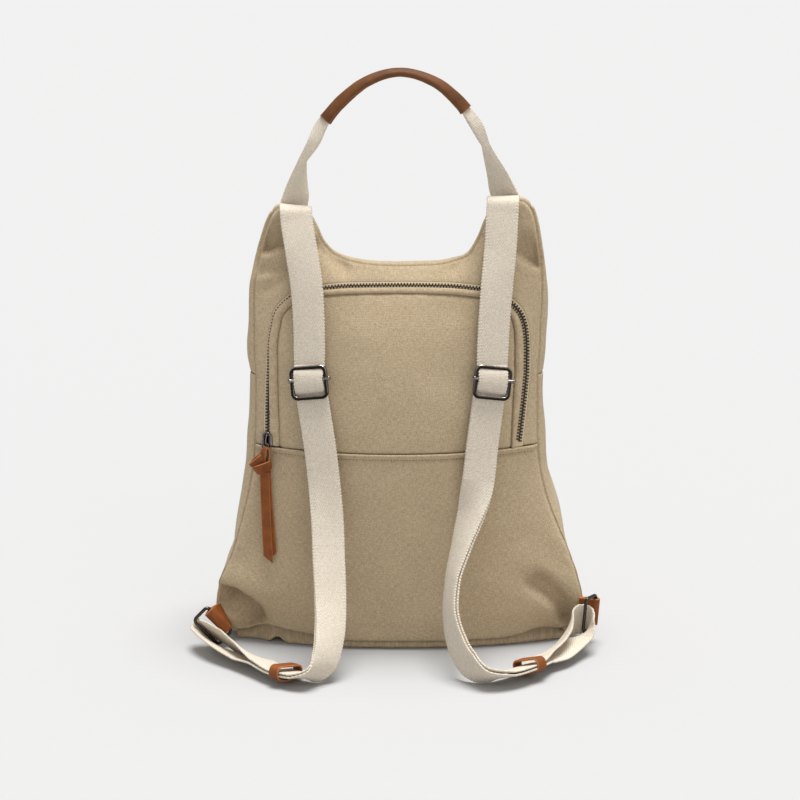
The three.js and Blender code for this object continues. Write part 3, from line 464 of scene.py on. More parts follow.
def makeHideGrain():
    # Pebbled hide: small cells with creases between them, over slow colour clouds.
    tree, given, out = newGroup(
        "hideGrain",
        [("Place", "Vector", None), ("Size", "Float", 1.0)],
        [("Height", "Float"), ("Cloud", "Float")],
    )
    scale = calc(tree, "DIVIDE", 1000.0, given["Size"])
    cells = put(tree, "TexVoronoi", {"Vector": given["Place"], "Scale": scale}, feature="DISTANCE_TO_EDGE")
    pores = put(tree, "MapRange", {0: cells.outputs["Distance"], 1: 0.0, 2: 0.12, 3: 0.0, 4: 1.0}).outputs[0]
    fine = noise(tree, given["Place"], 1400, 2.0)
    cloud = noise(tree, given["Place"], 75, 4.0, 0.6)
    feed(tree, out, {"Height": calc(tree, "MULTIPLY_ADD", fine, 0.5, pores), "Cloud": cloud})
    return tree


def makeEdgeWearAndHighlight():
    # A rim mask broken up by fine noise: rubbed and burnished cut edges on hide, painted highlights along the
    # rims of metal.
    tree, given, out = newGroup(
        "edgeWearAndHighlight",
        [("Place", "Vector", None), ("Rim", "Float", 0.0), ("Broken", "Float", 0.5)],
        [("Mask", "Float"), ("Smudge", "Float")],
    )
    patches = noise(tree, given["Place"], 320, 3.0)
    wornAndLit = calc(tree, "MULTIPLY", given["Rim"], calc(tree, "ADD", given["Broken"], patches))
    smudge = noise(tree, given["Place"], 140, 5.0, 0.65)
    feed(tree, out, {"Mask": put(tree, "Clamp", {0: wornAndLit}).outputs[0], "Smudge": smudge})
    return tree


threadWeave = makeThreadWeave()
clothMottle = makeClothMottle()
hideGrain = makeHideGrain()
edgeWearAndHighlight = makeEdgeWearAndHighlight()


def newMaterial(name):
    # Material with its tree and its shader node.
    made = bpy.data.materials.new(name)
    made.use_nodes = True
    tree = made.node_tree
    return made, tree, tree.nodes["Principled BSDF"]


def wovenMaterial(name, look):
    # Woven cloth: mottled thread colour under a weave bump, read from the piece's own map in metres.
    made, tree, shader = newMaterial(name)
    uv = put(tree, "UVMap", uv_map="clothUv").outputs[0]
    sizes = {"Uv": uv, "Across": look["across"], "Along": look["along"], "Slant": look["slant"]}
    weave = put(tree, "Group", sizes, node_tree=threadWeave).outputs
    tones = {"Uv": uv, "Light": look["light"], "Dark": look["dark"], "Slub": look["slub"]}
    mottle = put(tree, "Group", tones, node_tree=clothMottle).outputs
    # the weave's painted shade darkens the mottled colour in the grooves between threads
    shade = calc(tree, "MULTIPLY_ADD", weave["Shade"], look["contrast"], 1.0 - 0.5 * look["contrast"])
    color = put(tree, "VectorMath", {0: mottle["Color"], 1: shade}, operation="MULTIPLY").outputs[0]
    relief = {"Height": weave["Height"], "Strength": look["bump"], "Distance": look["relief"]}
    feed(tree, shader.inputs, {
        "Base Color": color, "Roughness": mottle["Roughness"], "Normal": put(tree, "Bump", relief).outputs[0],
        "Sheen Weight": look["sheen"], "Sheen Roughness": 0.6, "Specular IOR Level": 0.2,
    })
    return made


def rubbedAndHighlitMaterial(name, look):
    # Hide or blackened metal: cloudy colour, edges of another tone (rubbed cut edges on hide, painted
    # highlights on metal), smudged gloss.
    # A look with a grain is hide and has a pebbled bump.
    made, tree, shader = newMaterial(name)
    place = put(tree, "TexCoord").outputs["Object"]
    rim = put(tree, "Attribute", attribute_name="rim").outputs["Fac"]
    edges = {"Place": place, "Rim": rim, "Broken": look["broken"]}
    wearAndHighlight = put(tree, "Group", edges, node_tree=edgeWearAndHighlight).outputs
    cloud = wearAndHighlight["Smudge"]
    if "grain" in look:
        grain = put(tree, "Group", {"Place": place, "Size": look["grain"]}, node_tree=hideGrain).outputs
        pebbles = {"Height": grain["Height"], "Strength": look["bump"], "Distance": look["relief"]}
        bump = put(tree, "Bump", pebbles).outputs[0]
        feed(tree, shader.inputs, {"Normal": bump, "Specular IOR Level": look["gloss"]})
        cloud = grain["Cloud"]
    else:
        feed(tree, shader.inputs, {"Metallic": 1.0})
    color = blendColor(tree, ranged(tree, cloud, 0.0, 1.0), look["dark"], look["light"])
    # rims take the edge tone: light cut edges on hide, a painted highlight on metal
    color = blendColor(tree, wearAndHighlight["Mask"], color, look["edge"])
    rough = ranged(tree, wearAndHighlight["Smudge"], *look["rough"])
    feed(tree, shader.inputs, {"Base Color": color, "Roughness": rough})
    return made


canvas = wovenMaterial("khakiCanvas", {
    "light": tone(195, 176.6, 146), "dark": tone(159, 140.6, 113), "slub": 1.4, "contrast": 0.36,
    "across": 1.25, "along": 1.25, "slant": 1.0, "bump": 0.4, "relief": 0.0004, "sheen": 0.05,
})
creamWeb = wovenMaterial("creamWebbing", {
    "light": tone(219, 209, 193), "dark": tone(194, 183, 166), "slub": 1.3, "contrast": 0.4,
    "across": 2.0, "along": 1.15, "slant": 0.35, "bump": 0.5, "relief": 0.0005, "sheen": 0.05,
})
tapeCloth = wovenMaterial("zipTape", {
    "light": tone(214, 196, 166), "dark": tone(194, 175, 145), "slub": 0.5, "contrast": 0.2,
    "across": 0.8, "along": 0.8, "slant": 0.0, "bump": 0.3, "relief": 0.0003, "sheen": 0.05,
})
# sewing thread: its own brown, with the tones darkened further as painted shade about the stitches
threadCloth = wovenMaterial("sewingThread", {
    "light": tone(150, 126, 94), "dark": tone(120, 98, 70), "slub": 0.4, "contrast": 0.3,
    "across": 0.5, "along": 0.6, "slant": 1.0, "bump": 0.3, "relief": 0.0002, "sheen": 0.1,
})
hide = {"grain": 0.9, "bump": 0.25, "relief": 0.00025, "gloss": 0.25, "rough": (0.46, 0.66), "broken": 0.4}
tanLeather = rubbedAndHighlitMaterial("tanLeather", {
    "light": tone(141, 80, 34), "dark": tone(106, 56, 22), "edge": tone(170, 108, 62), **hide})
wrapLeather = rubbedAndHighlitMaterial("wrapLeather", {
    "light": tone(112, 70, 36), "dark": tone(84, 50, 24), "edge": tone(136, 88, 52), **hide})
# blackened metal: its pale edge tone is a painted highlight wherever a rim is marked
gunmetal = rubbedAndHighlitMaterial("blackenedMetal", {
    "light": tone(44, 38, 35), "dark": tone(28, 24, 22), "edge": tone(205, 197, 189),
    "rough": (0.08, 0.18), "broken": 0.45})
# tooth metal: its pale edge tone is a painted highlight on the teeth's tops
toothMetal = rubbedAndHighlitMaterial("toothMetal", {
    "light": tone(40, 35, 32), "dark": tone(24, 21, 19), "edge": tone(170, 160, 150),
    "rough": (0.2, 0.36), "broken": 0.45})

floorMaterial, floorTree, floorShader = newMaterial("paleFloor")
floorPlace = put(floorTree, "TexCoord").outputs["Object"]
floorGrain = ranged(floorTree, noise(floorTree, floorPlace, 40), 0.9, 1.0)
floorColor = (*[studio["floorTone"]] * 3, 1)
floorLook = {"Base Color": floorColor, "Specular IOR Level": 0.0, "Roughness": floorGrain}
feed(floorTree, floorShader.inputs, floorLook)
reach = studio["floorReach"]
floorCorners = [(x * reach, y * reach, studio["floorZ"]) for x, y in ((-1, -1), (1, -1), (1, 1), (-1, 1))]
floorMesh = bpy.data.meshes.new("floor")
floorMesh.from_pydata(floorCorners, [], [(0, 1, 2, 3)])
floorMesh.materials.append(floorMaterial)
floor = bpy.data.objects.new("floor", floorMesh)
scene.collection.objects.link(floor)
floor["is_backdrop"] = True
print("studio and finishes ready")

# The bag's form, in millimetres
bag = {
    "centre": (0, 0, 170),
    "wall": 1.6,
    "seamZ": 165.0,
    "sideRow": 4, "cornerRow": 5, "earRow": 23,
    "outline": np.array([  # right half from the middle of the base over the ear to the scoop: x z crown
        [0, 0, 7], [60, 0, 7], [112, 0, 7], [130, 0, 7], [143, 5, 7], [150, 15, 5], [152.5, 28, 3],
        [149.5, 41, 2.4], [144.5, 56, 2.4], [139, 72, 2.8], [134, 89, 3.6], [129.8, 107, 4.8], [126, 126, 6],
        [122, 152, 7], [120.2, 180, 6.5], [119.4, 204, 6], [118.9, 221, 5.4], [120.6, 236, 6.2],
        [120.8, 262, 6], [120, 292, 5], [117, 310, 4], [113.5, 326, 3.4], [109, 341, 2.8], [103.5, 353, 2.4],
        [96, 359.5, 2.2], [86, 361, 2.2], [76, 359.5, 2.2], [70.5, 352, 2.2], [66, 341, 2.2],
        [61.5, 330.5, 2.2], [54, 321.5, 2.2], [42, 316.3, 2.2], [24, 313.4, 2.2], [0, 312.5, 2.2]]),
    "depth": np.array([  # z backEdge backSwell frontEdge frontSwell lean
        [0, -47, 25, 45, 10, 0], [30, -48, 25.5, 46, 20, -1], [90, -46, 28, 43, 29, -3],
        [150, -42, 31, 37, 31, -3.6], [200, -38, 31, 28, 29, -3.6], [250, -33, 26, 14, 23, -3.2],
        [290, -28, 20, -3, 12, -2.2], [313, -25.5, 15, -14, 5, -1.2], [361, -22, 8, -11, 3, 0]]),
    "folds": np.array([  # pressed into the back: x0 z0 x1 z1, depth inwards, reach
        [-113, 313, -92, 332, 1.5, 9], [-114, 300, -100, 296, -1, 8], [-141, 60, -104, 44, -1.6, 9]]),
    "creases": np.array([  # finer ones, same columns
        [-68, 327, -44, 308, 4.2, 5.5], [62, 329, 44, 309, 3.6, 5.5], [104, 337, 113, 318, -1.4, 5],
        [-60, 300, 50, 303, -0.8, 7], [-136, 62, -112, 84, 1.0, 8], [128, 66, 104, 92, 0.9, 9]]),
    "drapes": [  # overhanging folds: crease line, depth, slow fall on its left, fast on its right, fade
        ([(-111, 320.5), (-102, 322.5), (-91, 327)], 8.5, 26, 2.6, 6),
        ([(-112, 302.5), (-101, 305.5)], 3.4, 12, 3.2, 6),
        ([(-103.5, 291), (-96.5, 295.5), (-88.5, 305)], 3.4, 13, 3.5, 6),
        ([(93, 320), (112, 309)], 7.5, 20, 2.6, 5),
        ([(-113, 14), (-116, 25), (-122.5, 34), (-132, 41), (-145, 44)], 17, 25, 3.4, 5),
        ([(110, 53), (123, 41), (131, 31), (135, 18)], 12, 13, 6.5, 7),
    ],
    "puckers": np.array([[-110, 16, 8.5], [-84, 20, 5], [116, 18, 6.5]]),  # of the bottom seam: x reach lift
    "puckerZ": 6, "puckerFade": 40,
    "nudges": np.array([  # x z, reach along x and z, shift along x and z
        [55, 321, 10, 10, 0, -3.2], [0, 312, 46, 12, 0, -1.5], [-145, 50, 30, 16, -3, 0],
        [138, 74, 34, 36, 5.4, 0], [104, 348, 16, 18, 1.6, 0.6], [38, 316, 16, 10, 0, -1.6]]),
}
ears = {"lift": 4.0, "liftZ": (300, 361), "liftX": (10, 80),
        "drop": (6.6, 3.2), "dropZ": (335, 361), "outerX": 101, "dropX": (0, 16)}
drawnIn = {"rows": np.array([[-1, 52, 23, 13], [1, 56, 24, 11.5]]),  # side, z, reach and pull
           "behind": (-47, -32), "front": (10, 46), "frontLess": 0.6, "sideX": (70, 120)}
cloth = {"waveDeep": (0.75, 0.28), "waveSize": (46, 17), "swellSide": 2.2, "swellTop": 16,
         "foldSeam": (-1, 5), "tuckSharp": 0.68, "tuckBroad": 0.32, "shoulder": 4.5,
         "ripple": 0.32, "rippleReach": 5, "rippleSize": 4.5, "rippleDrawn": 0.3}
topRow = len(bag["outline"]) - 1


def outlineAt(row):
    # Curve through the outline's rows, mirrored below row 0 and past the top; outward is its direction
    # turned right.
    half = np.where(row < 0, -row, np.minimum(row, 2 * topRow - row))
    side = np.where((row < 0) | (row > topRow), -1.0, 1.0)
    place, tangent = curveAt(bag["outline"][:, :2], half)
    crown = np.interp(half, np.arange(topRow + 1), bag["outline"][:, 2])
    return side * place[..., 0], place[..., 1], side * tangent[..., 1], -tangent[..., 0], crown


def mirrored(row):
    # The row of the left half that faces one of the right half.
    return 2 * topRow - row


def seamAt(row):
    # Seam between a panel and the gusset: the outline drawn in by the gusset's crown.
    x, z, nx, nz, crown = outlineAt(np.asarray(row, float))
    return np.stack([x - nx * crown, z - nz * crown], -1)


def byLength(points):
    # Point at a share of a fine polyline's length.
    run = runAlong(points)
    return lambda t: np.stack([np.interp(t * run[-1], run, points[:, k]) for k in (0, 1)], -1)


def alongSeam(start, end):
    # Point at a share of the seam between two rows.
    return byLength(seamAt(np.linspace(start, end, 3000)))


def seamRowAt(height):
    # Row of the side seam at a height.
    rows = np.linspace(bag["cornerRow"], bag["earRow"], 3000)
    return float(np.interp(height, seamAt(rows)[:, 1], rows))


def sideAt(z):
    # Distance of the side seam from the middle at a height.
    sides = bag["outline"][bag["sideRow"]:bag["earRow"] + 1]
    return tableAt(sides[:, 1], sides[:, 0] - sides[:, 2], np.clip(z, sides[0, 1], sides[-1, 1]))


def swellAt(x, z):
    # Full in the middle; falls by a low power towards the sides and a high one towards the top edge.
    tops = bag["outline"][bag["earRow"]:][::-1]
    top = tableAt(tops[:, 0], tops[:, 1], np.minimum(np.abs(x), tops[-1, 0]))
    aside = np.minimum(np.abs(x) / sideAt(z), 1)
    return (1 - aside ** cloth["swellSide"]) * (1 - np.clip(z / top, 0, 1) ** cloth["swellTop"])


def pressed(folds, x, z):
    # Sum of dents, each a bell across a line from one point to another.
    total = np.zeros(np.broadcast(x, z).shape)
    for x0, z0, x1, z1, depth, reachOut in folds:
        dx, dz = x1 - x0, z1 - z0
        t = np.clip(((x - x0) * dx + (z - z0) * dz) / (dx * dx + dz * dz), 0, 1)
        away = np.hypot(x - x0 - t * dx, z - z0 - t * dz)
        total += depth * bell(away / reachOut)
    return total


def draped(x, z):
    # Each fold is deepest on its crease line and falls off slowly on one side and fast on the other;
    # all fade at the side seam.
    total = np.zeros(np.broadcast(x, z).shape)
    for line, deep, slow, fast, fade in bag["drapes"]:
        deepest = np.zeros(total.shape)
        for (x0, z0), (x1, z1) in zip(line, line[1:]):
            length = np.hypot(x1 - x0, z1 - z0)
            dx, dz = (x1 - x0) / length, (z1 - z0) / length
            along = (x - x0) * dx + (z - z0) * dz
            aside = (z - z0) * dx - (x - x0) * dz
            beyond = np.maximum(np.maximum(-along, along - length), 0)
            left = 1 - smoothStep(aside, 0, slow)
            right = bell(np.minimum(aside, 0) / fast)
            deepest = np.maximum(deepest, deep * left * right * bell(beyond / fade))
        total += deepest
    return total * smoothStep(sideAt(z) - np.abs(x), *cloth["foldSeam"])


def puckerAt(x, z):
    # The bottom seam rises in bells about each pucker and the rise fades upwards.
    fade = np.clip(1 - (z - bag["puckerZ"]) / bag["puckerFade"], 0, 1)
    return sum(lift * fade * bell((x - px) / reachOut) for px, reachOut, lift in bag["puckers"])


def depthColumn(column, z):
    # One column of the depth table at a height.
    heights = bag["depth"][:, 0]
    return tableAt(heights, bag["depth"][:, column], np.clip(z, heights[0], heights[-1]))


def backAt(x, z):
    # Edge depth less the swell, plus folds, fine creases and overhanging folds.
    form = depthColumn(1, z) - depthColumn(2, z) * swellAt(x, z) + pressed(bag["folds"], x, z)
    return form + pressed(bag["creases"], x, z) + draped(x, z)


def frontAt(x, z):
    # Edge depth plus the swell.
    return depthColumn(3, z) + depthColumn(4, z) * swellAt(x, z)


def waves(x, z, seed):
    # Slow unevenness of washed cloth in two sizes.
    broad, small = (softNoise(x, z, size, seed + k) for k, size in enumerate(cloth["waveSize"]))
    return cloth["waveDeep"][0] * broad + cloth["waveDeep"][1] * small


def settled(x, y, z):
    # The standing bag leans by the table, its right ear stands higher, the ears dip inwards, the nudges
    # push it, and the gusset is drawn in behind the back's seam.
    ear = smoothStep(z, *ears["liftZ"]) * smoothStep(x, *ears["liftX"])
    dip = smoothStep(z, *ears["dropZ"]) * smoothStep(ears["outerX"] - np.abs(x), *ears["dropX"])
    moveX, moveZ = depthColumn(5, z), ears["lift"] * ear - np.where(x < 0, *ears["drop"]) * dip
    for px, pz, reachX, reachZ, dx, dz in bag["nudges"]:
        share = np.exp(-(((x - px) / reachX) ** 2) - ((z - pz) / reachZ) ** 2)
        moveX, moveZ = moveX + dx * share, moveZ + dz * share
    behind = smoothStep(y, *drawnIn["behind"]) * (1 - drawnIn["frontLess"] * smoothStep(y, *drawnIn["front"]))
    for side, pz, reachZ, pull in drawnIn["rows"]:
        share = bell((z - pz) / reachZ) * smoothStep(side * x, *drawnIn["sideX"])
        moveX = moveX - side * pull * share * behind
    return np.stack(np.broadcast_arrays(x + moveX, y, z + moveZ), -1)


def backPoint(x, z, deep=0.0):
    # Point of the finished back, pressed in by deep.
    return settled(x, backAt(x, z) + deep, z + puckerAt(x, z))


def tucked(distance, depth=2.8, within=1.3):
    # Cloth rolling into a seam: a sharp bell at the seam on a broad shoulder.
    shoulder = np.clip(1 - distance / (cloth["shoulder"] * within), 0, 1) ** 2
    sharp = bell(np.maximum(distance, 0) / within)
    return depth * (cloth["tuckSharp"] * sharp + cloth["tuckBroad"] * shoulder)


def gathered(distance, run, seed):
    # Small ripples square to a seam that die away from it by an exponential.
    ripple = cloth["ripple"] * np.exp(-np.maximum(distance, 0) / cloth["rippleReach"])
    return ripple * softNoise(run, distance * cloth["rippleDrawn"], cloth["rippleSize"], seed)


def patch(bottom, right, top, left, us, vs):
    # Coons patch: straight blends of facing edges, less the blend of the four corners.
    s, t = us[None, :, None], vs[:, None, None]
    low, high = bottom(us)[None], top(us)[None]
    first, last = left(vs)[:, None], right(vs)[:, None]
    corners = lerp(lerp(low[:, :1], high[:, :1], t), lerp(low[:, -1:], high[:, -1:], t), s)
    grid = lerp(low, high, t) + lerp(first, last, s) - corners
    return grid[..., 0], grid[..., 1]


def fromSides(x):
    # Distance of each point from the nearer end of its row.
    return np.minimum(x - x[:, :1], x[:, -1:] - x)


def canvasPanel(name, node, points, uv, wall=bag["wall"]):
    # Canvas sheet whose outer faces look away from the bag's middle.
    addPiece(name, [surface(points, uv)], canvas, [node], bag["centre"], wall)


def backPanel(name, node, x, z, deep):
    # Canvas sheet of the back, pressed in by deep and mapped flat.
    canvasPanel(name, node, backPoint(x, z, deep), mapUv(x, z))


# Front panel: one plain sheet
corner, ear = bag["cornerRow"], bag["earRow"]
us, vs = gradedSteps(290, 6, 0.8, 2.6), gradedSteps(350, 6, 0.8, 2.6)
fx, fz = patch(alongSeam(-corner, corner), alongSeam(corner, ear), alongSeam(mirrored(ear), ear),
               alongSeam(mirrored(corner), mirrored(ear)), us, vs)
edge = np.minimum(fromSides(fx), np.minimum(fz - fz[:1], fz[-1:] - fz))
fy = frontAt(fx, fz) - tucked(edge) + waves(fx, fz, 21) * np.clip(edge / 12, 0, 1)
fy = fy + gathered(edge, fx + fz, 31)
canvasPanel("frontPanel", "front_panel", settled(fx, fy, fz), mapUv(fx, fz))

# Lower back: its top edge is a folded ridge with a row of stitches under it
ridge = {"height": 2.1, "rise": 0.45, "width": 2.6, "stitch": 4.7, "groove": 0.8, "grooveWidth": 1.1,
         "drawn": 0.28, "drawnUp": 1.6, "drawnWidth": 2.2, "drawnSize": 3.4, "calm": 14}
seamEnd = seamRowAt(bag["seamZ"])
us, vs = gradedSteps(270, 6, 0.5, 2.2), gradedSteps(165, 7, 0.4, 2.2)
leftEnd, rightEnd = seamAt(mirrored(seamEnd)), seamAt(seamEnd)
straight = byLength(np.stack([leftEnd, rightEnd]))
bx, bz = patch(alongSeam(-corner, corner), alongSeam(corner, seamEnd), straight,
               alongSeam(mirrored(corner), mirrored(seamEnd)), us, vs)


def ridgeAt(below, x):
    # Rolled edge rising at once and easing off, with a stitched groove and small puckers under it.
    roll = ridge["height"] * (1 - np.exp(-below / ridge["rise"])) * bell(below / ridge["width"])
    groove = ridge["groove"] * bell((below - ridge["stitch"]) / ridge["grooveWidth"])
    drawn = ridge["drawn"] * bell((below - ridge["stitch"] + ridge["drawnUp"]) / ridge["drawnWidth"])
    return roll - groove + drawn * softNoise(x, below * 0.2, ridge["drawnSize"], 5)


sideEdge, bottomEdge = fromSides(bx), bz - bz[:1]
edge = np.minimum(sideEdge, bottomEdge)
below = bag["seamZ"] - bz
calm = np.clip(np.minimum(edge, below) / ridge["calm"], 0, 1)
lowerDeep = tucked(sideEdge) + tucked(bottomEdge, 1.3, 1.0) - ridgeAt(below, bx)
lowerDeep = lowerDeep + waves(bx, bz, 3) * calm + gathered(edge, bx + bz, 33)
backPanel("lowerBack", "back_panel_lower", bx, bz, lowerDeep)

# Zip line and the canvas round it
zipper = {
    "line": np.array([
        [103.6, 165], [103.8, 198], [103.1, 230], [102.6, 248], [100.8, 261.5], [97.4, 272.6], [88.4, 283],
        [77.5, 290.7], [50, 295.1], [25, 296.2], [0, 296.5]]),
    "shift": np.array([[0, 0], [1, 0.6], [2, 1.2], [4, 1.6], [5, 0.8], [6, 0], [10, 0]]),  # to the right
    "edge": np.array([[0, 2.7], [6, 2.7], [8, 1.7], [12, 1.7], [14, 2.6], [20, 2.7]]),  # of the surround
    "half": 2.6, "footIn": 5.5, "footRows": 1.8, "cornerRow": 5,
    "facing": np.array([  # outline row against zip row across the surround
        [13.46, 0], [14, 0.5], [15, 1], [16, 1.5], [17, 2], [18, 2.8], [19, 3.6], [20, 4.2], [21, 4.7],
        [22, 5.1], [23, 5.5], [24, 5.9], [25, 6.3], [26, 6.8], [27, 7.15], [28, 7.4], [29, 7.6], [30, 7.9],
        [31, 8.4], [32, 9.1], [33, 10]]),
    "toothPitch": 2.5, "toothDeep": 0.15, "levelNarrow": 0.36,
    "lip": np.array([  # zip row against the binding's outer edge: it rolls over the teeth on the left bend
        [0, -2.8], [6, -2.8], [8, -1.7], [12, -1.7], [13, -0.4], [13.8, 1.3], [14.6, 1.6], [17, 1.5],
        [17.8, 0.8], [18.4, 0.1], [19.2, -1.1], [20, -1.6]]),
    "crease": np.array([  # zip row against the binding's inner edge
        [0, -5.6], [1, -8.3], [2, -9.4], [4, -8.8], [6, -7.5], [8, -6.6], [10, -6.2], [12, -6.2], [14, -5.2],
        [17, -5.2], [18, -6.2], [19, -8], [20, -9.5]]),
}
zipTop = len(zipper["line"]) - 1


def zipLine(row, aside):
    # Zip's middle line moved outwards; rows past the top run down the left side, and the right foot bends in.
    row = np.asarray(row, float)
    half, side = np.minimum(row, 2 * zipTop - row), np.where(row > zipTop, -1.0, 1.0)
    place, tangent = curveAt(zipper["line"], half)
    bentIn = zipper["footIn"] * np.clip(1 - row / zipper["footRows"], 0, 1)
    shift = np.interp(half, *zipper["shift"].T)
    x = side * (place[..., 0] + tangent[..., 1] * aside) - bentIn + shift
    z = place[..., 1] - tangent[..., 0] * aside * smoothStep(half, 0, 0.6)
    return np.stack([x, z], -1)


def zipRows(step):
    # Row numbers an even step apart along the zip.
    fine = np.linspace(0, 2 * zipTop, 4000)
    run = runAlong(zipLine(fine, 0))
    return np.interp(np.arange(0, run[-1], step), run, fine)


fine = np.linspace(seamEnd, mirrored(seamEnd), 4000)
seamRun = runAlong(seamAt(fine))
outerRow = np.interp(gradedSteps(seamRun[-1], 6, 1.0, 2.4) * seamRun[-1], seamRun, fine)
halfRow = np.minimum(outerRow, mirrored(outerRow))
facingRow = np.interp(halfRow, *zipper["facing"].T)
facingRow = np.where(outerRow > topRow, 2 * zipTop - facingRow, facingRow)
inner = zipLine(facingRow, tableAt(*zipper["edge"].T, facingRow))
outer = seamAt(outerRow)
share = 0.5 - 0.5 * np.cos(np.linspace(0, np.pi, 40))
flat = lerp(inner[:, None], outer[:, None], share[None, :, None])
sx, sz = flat[..., 0], flat[..., 1]
wide = np.linalg.norm(outer - inner, axis=1)[:, None]
fromZip, fromSeam, fromFoot = share * wide, (1 - share) * wide, sz - bag["seamZ"]
calm = np.clip(np.minimum(np.minimum(fromZip, fromSeam), fromFoot) / 10, 0, 1)
run = seamRun[-1] * np.linspace(0, 1, len(outerRow))[:, None]
hem = lerp(2.8, 1.0, smoothStep(halfRow, 22.5, 24.5))[:, None]  # the top edge is only a soft hem
surroundDeep = tucked(fromSeam, hem) + tucked(fromZip, 0.9, 1.0) + tucked(fromFoot, 1.3, 1.0)
surroundDeep = surroundDeep + waves(sx, sz, 3) * calm + gathered(fromSeam, run, 35)
backPanel("backSurround", "back_panel_surround", sx, sz, surroundDeep)

# Zipped flap and the puffed binding along its edge

def creaseLine(rows, more=0.0):
    # Inner edge of the binding, moved outwards by more.
    return zipLine(rows, tableAt(*zipper["crease"].T, rows) + more)


def alongCrease(start, end):
    # Point at a share of that edge between two zip rows.
    return byLength(creaseLine(np.linspace(start, end, 2000)))


far, turnRow = 2 * zipTop, zipper["cornerRow"]
us, vs = gradedSteps(180, 5, 0.5, 2.2), gradedSteps(122, 5, 0.5, 2.2)
footLine = byLength(creaseLine(np.array([far, 0.0])))
px, pz = patch(footLine, alongCrease(0, turnRow), alongCrease(far - turnRow, turnRow),
               alongCrease(far, far - turnRow), us, vs)
edge = np.minimum(fromSides(px), pz[-1:] - pz)
fromFoot = pz - bag["seamZ"]
calm = np.clip(np.minimum(edge, fromFoot) / 12, 0, 1)
flapDeep = tucked(edge, 2.2, 1.2) + tucked(fromFoot, 1.3, 1.0) + waves(px, pz, 3) * calm
flapDeep = flapDeep + gathered(edge, px + pz, 37)
backPanel("zippedFlap", "back_flap", px, pz, flapDeep)

# binding: a crown across its width that swells and ripples along the zip, tucked in at the flap
binding = {"wall": 1.2, "step": 1.3, "over": -0.5, "crown": 1.8, "crownStart": 0.2, "round": 0.8,
           "uneven": 0.22, "unevenSize": 9, "deep": 0.5, "tuck": 1.6, "tuckPower": 6, "ripple": 0.16,
           "rippleSize": 2.6, "rippleSlant": 6, "aboveSeam": 0.3, "mapWidth": 5.5}
rows = zipRows(binding["step"])
share = np.linspace(0, 1, 13)
lip = zipLine(rows, tableAt(*zipper["lip"].T, rows))
line = lerp(lip[:, None], creaseLine(rows, binding["over"])[:, None], share[None, :, None])
run = np.arange(len(rows))[:, None] * binding["step"]
crown = np.sin(np.pi * lerp(binding["crownStart"], 1, share)) ** binding["round"]
uneven = 1 + binding["uneven"] * softNoise(run, share * 3, binding["unevenSize"], 41)
crown = binding["crown"] * crown * uneven
ripple = binding["ripple"] * softNoise(run + binding["rippleSlant"] * share, share, binding["rippleSize"], 43)
bindingDeep = binding["deep"] + binding["tuck"] * share ** binding["tuckPower"] - crown + ripple
aboveSeam = np.maximum(line[..., 1], bag["seamZ"] + binding["aboveSeam"])
canvasPanel("flapBinding", "flap_binding", backPoint(line[..., 0], aboveSeam, bindingDeep),
            mapUv(share * binding["mapWidth"], run), binding["wall"])
print("back panels ready")

# Zip tape and its two rows of teeth
tape = {"over": 1.2, "wall": 0.7, "deep": 0.45, "edgeDeep": 0.2, "aboveSeam": 0.2}
share = np.linspace(-1, 1, 7)
line = zipLine(rows[:, None], (share * (zipper["half"] + tape["over"]))[None])
tapeDeep = tape["deep"] + tape["edgeDeep"] * np.abs(share)
tapePoints = backPoint(line[..., 0], np.maximum(line[..., 1], bag["seamZ"] + tape["aboveSeam"]), tapeDeep)
addPiece("zipTape", [surface(tapePoints)], tapeCloth, ["zip_chain"], bag["centre"], tape["wall"])


def backFrame(x, z, deep, stepX, stepZ):
    # Point of the back with the directions of a step along it, across it and out of it.
    def stepped(dx, dz):
        # Way between two points of the back beside the middle.
        return backPoint(x + dx * 0.2, z + dz * 0.2, deep) - backPoint(x - dx * 0.2, z - dz * 0.2, deep)

    along = unit(stepped(stepX, stepZ))
    aside = squared(unit(stepped(stepZ, -stepX)), along)
    out = np.cross(along, aside)
    return backPoint(x, z, deep), along, aside, out * np.where(out[:, 1:2] > 0, -1, 1)


toothOutline = np.array([[2.5, 0.6], [0.3, 0.6], [-0.55, 0.42], [-0.55, -0.42], [0.3, -0.6], [2.5, -0.6]])
levels = np.array([[1.0, -0.4], [1.0, 0.35], [0.75, 0.65]])  # share of the outline and height
toothPoints = np.stack([
    np.concatenate([[1, 0] + (toothOutline - [1, 0]) * s, np.full((6, 1), h)], 1) for s, h in levels])
# the top level's rim takes the metal's pale edge tone: a painted highlight on each tooth's top
tooth = surface(toothPoints, rim=np.array([[0], [0], [0.12]]), around=True, caps=True)
teeth = []
for side, offset in ((1, 0.0), (-1, 0.5)):
    toothRows = zipRows(zipper["toothPitch"])[2:-1]
    toothRows = toothRows + offset * np.gradient(toothRows)
    spot, ahead = zipLine(toothRows, 0), zipLine(toothRows + 0.01, 0)
    step = unit(ahead - spot)
    here, along, aside, out = backFrame(*spot.T, zipper["toothDeep"], *step.T)
    # teeth are shorter where the zip runs level
    narrow = 1 - zipper["levelNarrow"] * step[:, :1] ** 4
    teeth.append(repeated(tooth, here, np.stack([side * aside * narrow, along, out], 1)))
addPiece("zipTeeth", teeth, toothMetal, sharp=40)
print("zip teeth:", sum(len(t["points"]) for t in teeth) // len(tooth["points"]))

